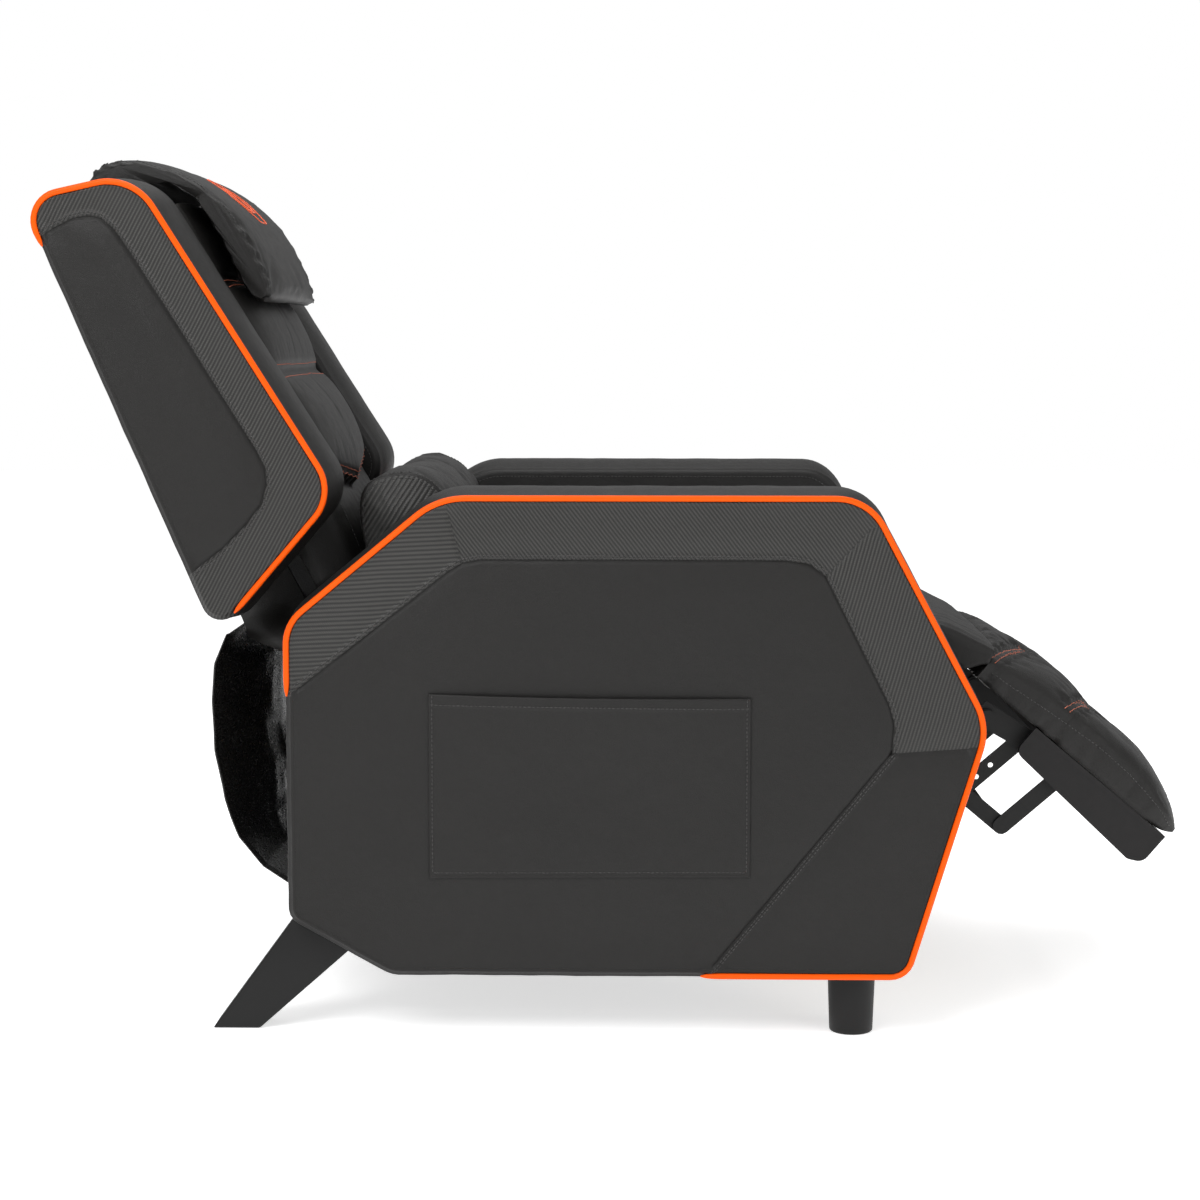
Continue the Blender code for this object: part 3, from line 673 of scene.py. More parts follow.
def twill(name, lean, pitch):
    """PVC cloth pressed with a carbon-like twill: raised ribs that lean at this angle, crossed by short threads."""
    made, tree, shader, where = blank(name, IOR=1.5, Roughness=0.46, Specular_IOR_Level=0.35)
    a = math.radians(lean)
    over, along = (add(tree, "VectorMath", {0: where, 1: way}, operation="DOT_PRODUCT").outputs["Value"]
                   for way in ((0.0, math.sin(a), math.cos(a)), (0.0, -math.cos(a), math.sin(a))))
    wobble = add(tree, "TexNoise", {"Vector": where, "Scale": 18.0, "Detail": 1.0}).outputs[0]
    shift = add(tree, "Math", {0: wobble, 1: 0.0016}, operation="MULTIPLY").outputs[0]
    placed = add(tree, "Math", {0: over, 1: shift}, operation="ADD").outputs[0]
    turns = add(tree, "Math", {0: placed, 1: 2 * math.pi / pitch}, operation="MULTIPLY").outputs[0]
    wave = add(tree, "Math", {0: turns}, operation="SINE").outputs[0]
    # Threads cross each rib at a slant, 2.6 mm apart.
    slant = add(tree, "Math", {0: placed, 1: 0.8, 2: along}, operation="MULTIPLY_ADD").outputs[0]
    steps = add(tree, "Math", {0: slant, 1: 2 * math.pi / 0.0026}, operation="MULTIPLY").outputs[0]
    cross = add(tree, "Math", {0: steps}, operation="SINE").outputs[0]
    rib = add(tree, "MapRange", {0: wave, 1: -0.75, 2: 0.85}).outputs[0]
    yarn = add(tree, "MapRange", {0: cross, 1: -1.0, 3: 0.62}).outputs[0]
    height = add(tree, "Math", {0: rib, 1: yarn}, operation="MULTIPLY").outputs[0]
    coated(tree, shader, (height, linear(colours().twill_low), linear(colours().twill_high)),
           bumps=[(height, 0.00045)])
    return made


def vinyl(name, code):
    """Extruded piping covered in coloured PVC: smoother and a little glossier than the hide grain."""
    made, tree, shader, where = blank(name, IOR=1.5, Specular_IOR_Level=0.14)
    fine = add(tree, "TexNoise", {"Vector": where, "Scale": 420.0, "Detail": 3.0}).outputs[0]
    wide = add(tree, "TexNoise", {"Vector": where, "Scale": 22.0, "Detail": 2.0}).outputs[0]
    coated(tree, shader, (wide, shaded(code, 0.90), shaded(code, 1.0)), (fine, 0.34, 0.50), [(fine, 0.00012)])
    return made


def thread(name, code):
    """Twisted polyester sewing thread: fine slanted strands and a soft sheen."""
    made, tree, shader, where = blank(name, IOR=1.5, Roughness=0.55, Sheen_Weight=0.25)
    twist = add(tree, "TexWave", {"Vector": where, "Scale": 500.0, "Distortion": 2.0},
                bands_direction="DIAGONAL").outputs["Fac"]
    coated(tree, shader, (twist, shaded(code, 0.65), shaded(code, 1.15)), bumps=[(twist, 0.0001)])
    return made


def powder_coat():
    """Mild steel in matt black powder coat: slight orange peel, and scuffs that dull it."""
    made, tree, shader, where = blank("powder_coated_steel_black", Metallic=0.0, IOR=1.5, Specular_IOR_Level=0.30)
    peel = add(tree, "TexNoise", {"Vector": where, "Scale": 900.0, "Detail": 2.0}).outputs[0]
    scuff = add(tree, "TexNoise", {"Vector": where, "Scale": 60.0, "Detail": 6.0, "Roughness": 0.7}).outputs[0]
    worn = add(tree, "MapRange", {0: scuff, 1: 0.45, 2: 0.75}).outputs[0]
    coated(tree, shader, (worn, linear("#0D0D0D"), linear("#181716")), (scuff, 0.42, 0.60), [(peel, 0.00008)])
    return made


def moulded_plastic():
    """Injection-moulded black polypropylene with a spark-eroded texture: matt and even."""
    made, tree, shader, where = blank("moulded_polypropylene_black", IOR=1.49, Specular_IOR_Level=0.30)
    spark = add(tree, "TexNoise", {"Vector": where, "Scale": 1100.0, "Detail": 3.0}).outputs[0]
    wide = add(tree, "TexNoise", {"Vector": where, "Scale": 25.0, "Detail": 3.0}).outputs[0]
    coated(tree, shader, (wide, linear("#0B0B0B"), linear("#121212")), (wide, 0.42, 0.55), [(spark, 0.00012)])
    return made


def plywood():
    """Rotary-cut plywood, unfinished: pale brown bands of grain, rough to the light."""
    made, tree, shader, where = blank("plywood_raw", IOR=1.5, Roughness=0.7)
    spread = add(tree, "Mapping", {"Vector": where, "Scale": (14.0, 2.0, 60.0)}).outputs[0]
    grain = add(tree, "TexNoise", {"Vector": spread, "Scale": 1.6, "Detail": 6.0, "Distortion": 0.7}).outputs[0]
    coated(tree, shader, (grain, linear("#8A6A45"), linear("#C9A877")), bumps=[(grain, 0.0003)])
    return made


def laminated_board():
    """Chipboard faced in dark melamine foil: faint wood lines, satin."""
    made, tree, shader, where = blank("laminated_board_black", IOR=1.5, Roughness=0.42, Specular_IOR_Level=0.25)
    spread = add(tree, "Mapping", {"Vector": where, "Scale": (6.0, 90.0, 90.0)}).outputs[0]
    lines = add(tree, "TexNoise", {"Vector": spread, "Scale": 1.2, "Detail": 5.0}).outputs[0]
    coated(tree, shader, (lines, linear("#0E0D0D"), linear("#171515")), bumps=[(lines, 0.00015)])
    return made


def drawn_wire():
    """Hard-drawn spring wire, bright with a grey oxide film and fine lines."""
    made, tree, shader, where = blank("drawn_steel_wire", Metallic=1.0)
    lines = add(tree, "TexNoise", {"Vector": where, "Scale": 260.0, "Detail": 4.0}).outputs[0]
    coated(tree, shader, (lines, linear("#6E6E70"), linear("#9A9A9C")), (lines, 0.28, 0.45), [(lines, 0.00005)])
    return made


def felted_lining():
    """Spun-bonded black lining: pressed fibres and a dull surface with pin dots."""
    made, tree, shader, where = blank("nonwoven_polypropylene_black", IOR=1.49, Roughness=0.9, Sheen_Weight=0.2)
    fibres = add(tree, "TexNoise", {"Vector": where, "Scale": 700.0, "Detail": 6.0, "Distortion": 1.5}).outputs[0]
    dots = add(tree, "TexVoronoi", {"Vector": where, "Scale": 420.0}).outputs["Distance"]
    coated(tree, shader, (fibres, linear("#101010"), linear("#1E1E1E")), bumps=[(dots, 0.0002), (fibres, 0.0002)])
    return made


MAKERS = {
    "leather": leatherette,
    "curtain": lambda: leatherette("pvc_leatherette_sheet", "UVMap", 0.20, 0.60),
    "rear twill": lambda: twill("pressed_twill_level", 3.0, 0.0050),
    "top twill": lambda: twill("pressed_twill_falling", -52.0, 0.0038),
    "front twill": lambda: twill("pressed_twill_upright", 74.0, 0.0040),
    "wing twill": lambda: twill("pressed_twill_rising", 62.0, 0.0040),
    "end twill": lambda: twill("pressed_twill_steep", 57.0, 0.0055),
    "piping": lambda: vinyl("piping_vinyl_orange", colours().piping),
    "accent": lambda: thread("accent_thread", colours().accent),
    "emblem": lambda: thread("accent_embroidery_thread", colours().piping),
    "thread": lambda: thread("plain_thread", colours().thread),
    "black_steel": powder_coat,
    "leg_plastic": moulded_plastic,
    "timber": plywood,
    "tray_board": laminated_board,
    "spring_wire": drawn_wire,
    "lining": felted_lining,
}
FINISHES = {}


def finish(key):
    """Each finish is made once, when it is first asked for."""
    if key not in FINISHES:
        FINISHES[key] = MAKERS[key]()
    return FINISHES[key]


# ---------------------------------------------------------------- pieces

def felled(uv, line):
    """Relief of a felled seam: a groove, and a pressed double strip on the seam's left."""
    distance, side = away(uv, line)
    signed = distance * side
    strip = 0.0009 * smooth(signed / 0.0009) * (1 - smooth((signed - 0.0056) / 0.0010))
    strip = strip * (distance < 0.008)
    return -sizes().groove * hill(signed + 0.0005, 0.0013) * (distance < 0.006) + strip, distance


def on_side(line, side, x):
    return [world(side * x, u, z) for u, z in line]


def welt_path(loop, first, last, side, outer):
    """Places of the piping between two points of an outline, on the rounded edge of its outer face."""
    start, end = (int(np.argmin(np.linalg.norm(loop - np.array(p), axis=1))) for p in (first, last))
    n = len(loop)
    order = [(start + k) % n for k in range((end - start) % n + 1)]
    gap = (EDGE + sizes().pipe * 0.72) * math.sqrt(0.5) - EDGE
    return side_points(side * (outer + gap), loop[order] + outward(loop)[order] * gap)


def clockwise(loop):
    """The loop turned so that it runs up the rear, forwards over the top and down the front."""
    after = np.roll(loop, -1, axis=0)
    area = (loop[:, 0] * after[:, 1] - after[:, 0] * loop[:, 1]).sum()
    return loop[::-1] if area > 0 else loop


def build_arm(side, name):
    loop = clockwise(spaced(rounded(ARM_CORNERS), 0.0062, True))
    across = outward(loop)
    rim = loop - across * EDGE

    def relief(uv):
        edge, _ = away(uv, rim, True)
        lift = 0.0042 * (1 - hill(edge, 0.085))
        nearest = np.full(len(uv), 1.0)
        for line in (ARM_SEAM, ARM_LOWER_SEAM):
            change, distance = felled(uv, line)
            lift = lift + change
            nearest = np.minimum(nearest, distance)
        for line in ARM_SHORT_SEAMS:
            distance, _ = away(uv, line)
            lift = lift - 0.0016 * hill(distance, 0.0014)
            nearest = np.minimum(nearest, distance)
        lift = lift - 0.0020 * hill(nearest, 0.016)
        return lift * smooth(edge / 0.004)

    def regions(uv):
        """0 for plain cloth, and 1, 2 and 3 for the rear, top and front pieces of twill."""
        plain = ARM_SEAM + [ARM_LOWER_SEAM[1], (0.063, -0.2), (-0.7, -0.2), (-0.7, 0.4015)]
        patterned = ~inside(uv, np.array(plain)) & (uv[:, 1] > 0.337 + 0.0625 * (uv[:, 0] - 0.272))
        rear = uv[:, 0] < -0.2155 - 0.2846 * (uv[:, 1] - 0.553)
        fore = uv[:, 0] > 0.195 + 0.953 * (uv[:, 1] - 0.539)
        return np.where(patterned, np.where(rear, 1, np.where(fore, 3, 2)), 0)

    def crown(_):
        top = 0.0080 * np.clip(across[:, 1], 0, 1) ** 2
        return 0.0015 + top + 0.0030 * np.abs(across[:, 0]) * (across[:, 1] > -0.5)

    seams = [ARM_SEAM, ARM_LOWER_SEAM] + ARM_SHORT_SEAMS
    pad = side_shell("arm_pad_" + name, side, loop, ARM_OUTER, ARM_INNER, relief, seams, crown)
    dress(pad, "base", [finish(k) for k in ("leather", "rear twill", "top twill", "front twill")],
          ["arm_cover_" + name])
    pick_side(pad, ARM_OUTER, regions)
    surface = surface_of(pad)
    rows = [on_side(beside(line, row), side, ARM_OUTER + 0.003) for line in (ARM_SEAM, ARM_LOWER_SEAM)
            for row in FELLED_ROWS]
    stitched("arm_stitching_" + name, surface, rows, finish("thread"), "base")
    pipe = cord_mesh("arm_welt_" + name, welt_path(loop, (ARM_REAR, 0.400), (0.058, ARM_BOTTOM), side, ARM_OUTER),
                     sizes().pipe)
    dress(pipe, "base", [finish("piping")], ["arm_piping_" + name])
    inner = side_points(side * (ARM_INNER - 0.001), loop - across * 0.0125)
    over = sorted(inner[inner[:, 2] > 0.36], key=lambda p: math.atan2(p[2] - 0.35, CENTRE - p[1]), reverse=True)
    stitched("arm_inner_stitching_" + name, surface, [over], finish("thread"), "base")


def build_pocket():
    arm = surface_of(bpy.data.objects["arm_pad_right"])
    u0, u1, z0, z1 = -0.2545, 0.1115, 0.1930, 0.4045
    wide, high = u1 - u0, z1 - z0

    def place(i, j):
        u = u0 + wide * j
        z = z0 + high * i - 0.0040 * j * i + 0.0025 * (1 - i) * (j - 0.5) - 0.0020 * i * np.sin(j * math.pi)
        lift = np.zeros_like(u)
        for k in range(len(u)):
            hit = arm.ray_cast(world(-0.5, u[k], z[k]), Vector((1, 0, 0)))[0]
            lift[k] = -hit.x if hit else ARM_OUTER
        open_by = 0.0040 * smooth((i - 0.35) / 0.65) * (1 - np.abs(2 * j - 1) ** 3)
        border = np.minimum(np.minimum(i * high, j * wide), (1 - j) * wide)
        press = 0.0010 * hill(border - 0.0045, 0.0022)
        hem = 0.0009 * smooth((i * high - high + 0.013) / 0.0012)
        return -(lift + 0.0007 + open_by + hem - press), u, z

    pocket = grid("arm_pocket_right", 90, 130, place)
    thickened(pocket, 0.0016, 1.0 if pocket.data.polygons[0].normal.x < 0 else -1.0)
    joined("arm_pocket_right", [pocket])
    dress(pocket, None, [finish("leather")], ["side_pocket_right"])
    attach(pocket, "base")
    inset = 0.0045
    sides = [(u0 + inset, z1 - 0.001), (u0 + inset, z0 + inset), (u1 - inset, z0 + inset + 0.001),
             (u1 - inset, z1 - 0.005)]
    hem = [(u0 + 0.002, z1 - 0.0125), (u1 - 0.002, z1 - 0.0165)]
    stitched("pocket_stitching", surface_of(pocket), [on_side(line, -1, 0.405) for line in (sides, hem)],
             finish("thread"), "base")


def build_wing(side, name):
    loop = clockwise(spaced(rounded(WING_CORNERS), 0.0058, True))
    across = outward(loop)
    rim = loop - across * EDGE

    def relief(uv):
        edge, _ = away(uv, rim, True)
        change, distance = felled(uv, WING_SEAM)
        lift = 0.0070 * (1 - hill(edge, 0.060)) + change - 0.0022 * hill(distance, 0.016)
        return lift * smooth(edge / 0.004)

    def regions(uv):
        """0 for plain cloth and 1 for twill."""
        return np.where(inside(uv, np.array(WING_SEAM + [(-0.62, 0.45), (-0.85, 0.90)])), 0, 1)

    def crown(_):
        return 0.0025 + 0.0100 * np.clip(across[:, 0] * 0.8 + across[:, 1] * 0.3, 0, 1)

    pad = side_shell("back_wing_pad_" + name, side, loop, BACK_HALF, WING_INNER, relief, [WING_SEAM], crown)
    dress(pad, "backrest", [finish("leather"), finish("wing twill")], ["back_wing_" + name])
    pick_side(pad, BACK_HALF, regions)
    surface = surface_of(pad)
    rows = [on_side(beside(WING_SEAM, row), side, BACK_HALF + 0.004) for row in FELLED_ROWS]
    stitched("wing_stitching_" + name, surface, rows, finish("thread"), "backrest")
    path = welt_path(loop, (-0.6938, 0.9100), tuple(on_back(0.164, -0.118)), side, BACK_HALF)
    pipe = cord_mesh("wing_welt_" + name, path, sizes().pipe)
    dress(pipe, "backrest", [finish("piping")], ["back_piping_" + name])
    front = side_points(side * (WING_INNER - 0.001), (loop - across * 0.012)[across[:, 0] > 0.25])
    stitched("wing_inner_stitching_" + name, surface, [sorted(front, key=lambda p: -p[2])], finish("thread"),
             "backrest")


BACK_SEAMS = (0.394, 0.520)


def back_half(s):
    return 0.250 + (0.2145 - 0.250) * np.clip((s - 0.115) / 0.030, 0, 1)


def vee(x):
    return 0.236 + 0.030 * np.abs(x) / 0.2145


def back_height(s, x):
    """Height of the back's face: plain below the V seam and three pads above it."""
    j = x / 0.2145
    lines = [vee(x), np.full_like(s, BACK_SEAMS[0]), np.full_like(s, BACK_SEAMS[1]), np.full_like(s, 0.645)]
    t = 0.016 + 0.010 * smooth((s - 0.03) / 0.2)
    for low, high, full in zip(lines[:-1], lines[1:], (0.022, 0.019, 0.006)):
        share = (s - low) / (high - low)
        held = (share >= 0) & (share <= 1)
        crown = full * np.clip(4 * share * (1 - share), 0, 1) ** 0.55 * (1 - np.abs(j) ** 4 * 0.7)
        t = np.where(held, 0.033 + crown, t)
    for line in lines[:3]:
        t = t - 0.0035 * puckers(s - line) + 0.0006 * hill(s - line, 0.004)
    t = t - 0.0045 * smooth((np.abs(j) - 0.80) / 0.2) - 0.012 * smooth((np.abs(j) - 0.93) / 0.07)
    return t


def back_place(x, s, t):
    up, out = heading(90 + BACK_LEAN), heading(BACK_LEAN)
    return x, HINGE[0] + s * up.x + t * out.x, HINGE[1] + s * up.y + t * out.y


def side_axes(co, origin, first, second):
    """How far each world point lies from a side-view origin along two headings."""
    u, z = CENTRE - co[:, 1] - origin[0], co[:, 2] - origin[1]
    return [u * heading(angle).x + z * heading(angle).y for angle in (first, second)]


def build_back():
    low, high = 0.030, 0.625

    def front(i, j):
        s = low + (high - low) * i
        x = back_half(s) * j
        return x, s, back_height(s, x)

    pad = slab("back_pad", 170, 90, front, -0.0415, 0.06, back_place)
    co = coordinates(pad)
    s, t = side_axes(co, HINGE, 90 + BACK_LEAN, BACK_LEAN)
    x = co[:, 0]
    near = np.minimum(np.minimum(np.abs(s - vee(x)), np.abs(s - BACK_SEAMS[0])), np.abs(s - BACK_SEAMS[1]))
    pinned = np.maximum(1 - smooth((near - 0.007) / 0.010), 1 - smooth((t - 0.004) / 0.014))
    pinned = np.maximum(pinned, smooth((np.abs(x) / back_half(s) - 0.90) / 0.08))
    puffed(pad, pinned, 3.0, 0.002, 0.003)
    creased(pad, (0.0005, 30, 1.3))
    dress(pad, "backrest", [finish("leather")], ["back_cushion"])
    surface = surface_of(pad)
    rows = [[world(*back_place(x, line(x) + shift, 0.045)) for x in np.linspace(-0.196, 0.196, 60)]
            for line in (vee, lambda x: BACK_SEAMS[0], lambda x: BACK_SEAMS[1])
            for shift in (ACCENT_SHIFT, -ACCENT_SHIFT)]
    stitched("back_accent_stitching", surface, rows, finish("accent"), "backrest")
    plain = [[world(*back_place(sign * (0.198 - 0.02 * k), 0.070 + 0.150 * k, 0.03)) for k in np.linspace(0, 1, 30)]
             for sign in (-1, 1)]
    stitched("back_plain_stitching", surface, plain, finish("thread"), "backrest")

    def rear(i, j):
        s = 0.042 + (high - 0.042) * i
        depth = 0.142 - 0.025 * np.clip((s - 0.13) / 0.5, 0, 1)
        depth = np.where(s < 0.131, 0.062 + 0.080 * np.clip((s - 0.042) / 0.089, 0, 1), depth)
        depth = depth + 0.004 * (1 - j * j) * smooth((s - 0.12) / 0.1)
        return back_half(s) * j, s, -depth

    cover = slab("back_cover_pad", 60, 40, rear, -0.0605, 0.08, back_place)
    creased(cover, (0.0012, 14, 5.0), (0.0004, 45, 8.0))
    dress(cover, "backrest", [finish("leather")], ["back_cover"])


def build_head_pillow():
    skin = [(0.500, 0.050), (0.484, 0.0545), (0.4715, 0.0640), (0.4740, 0.0754), (0.4870, 0.0815), (0.5056, 0.0843),
            (0.542, 0.0848), (0.5777, 0.0830), (0.606, 0.0762), (0.630, 0.0655), (0.655, 0.0505), (0.676, 0.0322),
            (0.694, 0.0130), (0.7060, -0.0080), (0.712, -0.0240), (0.7115, -0.0390), (0.705, -0.0510),
            (0.695, -0.0570), (0.683, -0.0590), (0.672, -0.0550), (0.663, -0.0460), (0.6600, -0.0330),
            (0.659, 0.0050), (0.650, 0.0350), (0.625, 0.0500), (0.570, 0.0520)]
    loop = spaced(skin, 0.0042, True)
    core = spaced([(0.492, 0.062), (0.560, 0.066), (0.620, 0.056), (0.655, 0.034), (0.678, 0.000), (0.686, -0.042)],
                  0.002)
    anchor = core[[int(np.argmin(np.linalg.norm(core - p, axis=1))) for p in loop]]
    half = 0.199
    rings = []
    for v in np.linspace(-1, 1, 76):
        reach = math.sin(v * math.pi / 2)
        full = 0.62 + 0.38 * max(0.0, 1 - abs(reach) ** 6.0) ** 0.5
        section = anchor + (loop - anchor) * full
        x, u, z = back_place(half * reach, section[:, 0], section[:, 1])
        rings.append(side_points(x, np.stack([u, z], axis=1)))
    pillow = rings_piece("head_pillow_pad", rings, plain_ends=True)
    puffed(pillow, smooth((np.abs(coordinates(pillow)[:, 0]) / half - 0.90) / 0.08), 3.0, 0.005, 0.0035)
    co = coordinates(pillow)
    along = co[:, 1] * 0.5 - co[:, 2] * 0.87
    gather = 0.0016 * np.sin(along * 2 * math.pi / 0.0125 + 2.2 * rumple(co, 40, 2.0))
    creased(pillow, (0.0007, 24, 6.1), extra=gather * hill(half - np.abs(co[:, 0]) - 0.010, 0.012))
    dress(pillow, "backrest", [finish("leather")], ["head_pillow"])
    surface = surface_of(pillow)
    lines = [[world(*back_place(sign * (half - 0.007), s, t)) for s, t in skin[2:16]] for sign in (-1, 1)]
    stitched("head_pillow_stitching", surface, lines, finish("thread"), "backrest")
    motif = []
    for radius in (0.048, 0.026, 0.022):
        turns = [math.radians(30.0 + 60.0 * k) for k in range(7)]
        corners = [(radius * math.sin(a), 0.620 + radius * math.cos(a)) for a in turns]
        motif.append([world(*back_place(x, s, 0.0830 - 0.4 * max(0.0, s - 0.60)))
                      for x, s in spaced(corners, 0.0022)])
    stitched("head_pillow_emblem", surface, motif, finish("emblem"), "backrest", pitch=0.0024, share=1.15, sink=0.3,
             radius=0.0011)


def build_lumbar_pillow():
    centre, lean = on_back(0.150, 0.078), BACK_LEAN - 12.0
    up, out = heading(90 + lean), heading(lean)
    half = 0.228
    turns = np.linspace(0, 2 * math.pi, 84, endpoint=False)

    def section(full):
        """Side-view ring of the roll, at this share of its full size."""
        c, s = np.cos(turns), np.sin(turns)
        depth = np.where(c > 0, 0.070, 0.044) * np.sign(c) * np.abs(c) ** 0.80 * full
        height = 0.078 * np.sign(s) * np.abs(s) ** 0.85 * full
        return np.stack([centre.x + out.x * depth + up.x * height, centre.y + out.y * depth + up.y * height], axis=1)

    plan = [(-half, k) for k in np.linspace(0.10, 0.93, 9)] + [(-half + 0.001, 0.97)]
    plan += [(half * 0.992 * r, 0.97 + 0.05 * max(0.0, 1 - abs(r) ** 8)) for r in np.linspace(-1, 1, 46)]
    plan += [(half - 0.001, 0.97)] + [(half, k) for k in np.linspace(0.93, 0.10, 9)]
    rings = []
    for x, full in plan:
        bulge = 0.009 * (1 - min(1.0, full / 0.93) ** 2) if abs(x) >= half - 0.0005 else 0.0
        rings.append(side_points(x + math.copysign(bulge, x), section(full)))
    pillow = rings_piece("lumbar_pillow_pad", rings)
    puffed(pillow, smooth(1 - np.abs(np.abs(coordinates(pillow)[:, 0]) - half) / 0.006), 3.5, 0.012, 0.007)
    creased(pillow, (0.0012, 20, 4.4), (0.0006, 48, 9.1))
    dress(pillow, "backrest", [finish("leather"), finish("end twill")], ["lumbar_pillow"])
    pick(pillow, lambda c: np.where(np.abs(c[:, 0]) > half + 0.0004, 1, 0))
    lines = []
    for sign in (-1, 1):
        for x, full in ((half - 0.0045, 1.0), (half + 0.003, 0.90)):
            ring = on_side(section(full), sign, x)
            lines.append(ring + ring[:1])
    stitched("lumbar_pillow_stitching", surface_of(pillow), lines, finish("thread"), "backrest")


def build_seat():
    rear, fore, seam = -0.2600, 0.3105, 0.1750

    def front(i, j):
        u = rear + (fore - rear) * i
        ends = np.clip(np.minimum(i / 0.07, (1 - i) / 0.13), 0, 1)
        sides = np.clip((1 - np.abs(j)) / 0.14, 0, 1)
        shoulder = np.sqrt(1 - (1 - ends) ** 2) * np.sqrt(1 - (1 - sides) ** 2)
        z = 0.4130 + 0.0490 * shoulder + 0.0145 * (1 - j * j) * shoulder
        return 0.2605 * j, u, z - 0.0085 * hill(u - seam, 0.020) - 0.0030 * puckers(u - seam)

    pad = slab("seat_pad", 120, 90, front, lambda i, j: 0.3690 + 0.004 * (1 - j * j), 0.10, lambda x, u, z: (x, u, z))
    co = coordinates(pad)
    near = np.abs(CENTRE - co[:, 1] - seam)
    puffed(pad, np.maximum(1 - smooth((near - 0.007) / 0.010), 1 - smooth((co[:, 2] - 0.400) / 0.020)), 3.0, 0.012,
           0.006)
    creased(pad, (0.0008, 18, 2.2))
    dress(pad, "base", [finish("leather")], ["seat_cushion"])
    rows = [[world(x, seam + shift, 0.47) for x in np.linspace(-0.245, 0.245, 60)]
            for shift in (-ACCENT_SHIFT, ACCENT_SHIFT)]
    stitched("seat_accent_stitching", surface_of(pad), rows, finish("accent"), "base")


# Heights above the footrest's pivot line, by place down it: on the middle line and at the side seams.
PAD_TOP = [(-0.163, 0.052), (-0.1600, 0.0660), (-0.1250, 0.0730), (-0.0904, 0.0805), (-0.0600, 0.0850),
           (-0.0300, 0.0835), (0.0, 0.0790), (0.0250, 0.0765), (0.0480, 0.0775), (0.0730, 0.0750), (0.0940, 0.0690),
           (0.1150, 0.0600), (0.1310, 0.0515), (0.1445, 0.0410)]
PAD_SIDE = [(-0.163, 0.036), (-0.1360, 0.0380), (-0.0550, 0.0470), (0.0050, 0.0520), (0.0600, 0.0500),
            (0.1000, 0.0440), (0.1300, 0.0360), (0.1445, 0.0310)]
# Each cross seam: its place on the middle line, and how far it runs per metre sideways.
PAD_SEAMS = ((-0.088, -0.27), (0.041, -0.36))


def seam_line(seam, x):
    return seam[0] + seam[1] * np.abs(x)


def profile(p, table):
    table = np.array(table)
    return np.interp(p, table[:, 0], table[:, 1])


def tray_place(x, p, q):
    along, out = heading(TRAY_SLOPE), heading(TRAY_SLOPE + 90)
    return x, TRAY_PIVOT[0] + p * along.x + q * out.x, TRAY_PIVOT[1] + p * along.y + q * out.y


def pad_half(p):
    return 0.261 - 0.020 * np.clip((p - 0.096) / 0.050, 0, 1) ** 2


def rounded_height(low, high, j):
    """Height of the footrest's face: high along the middle, and round down to low at its sides."""
    return low + (high - low) * np.clip(1 - np.abs(j) ** 3.4, 0, 1) ** 0.5


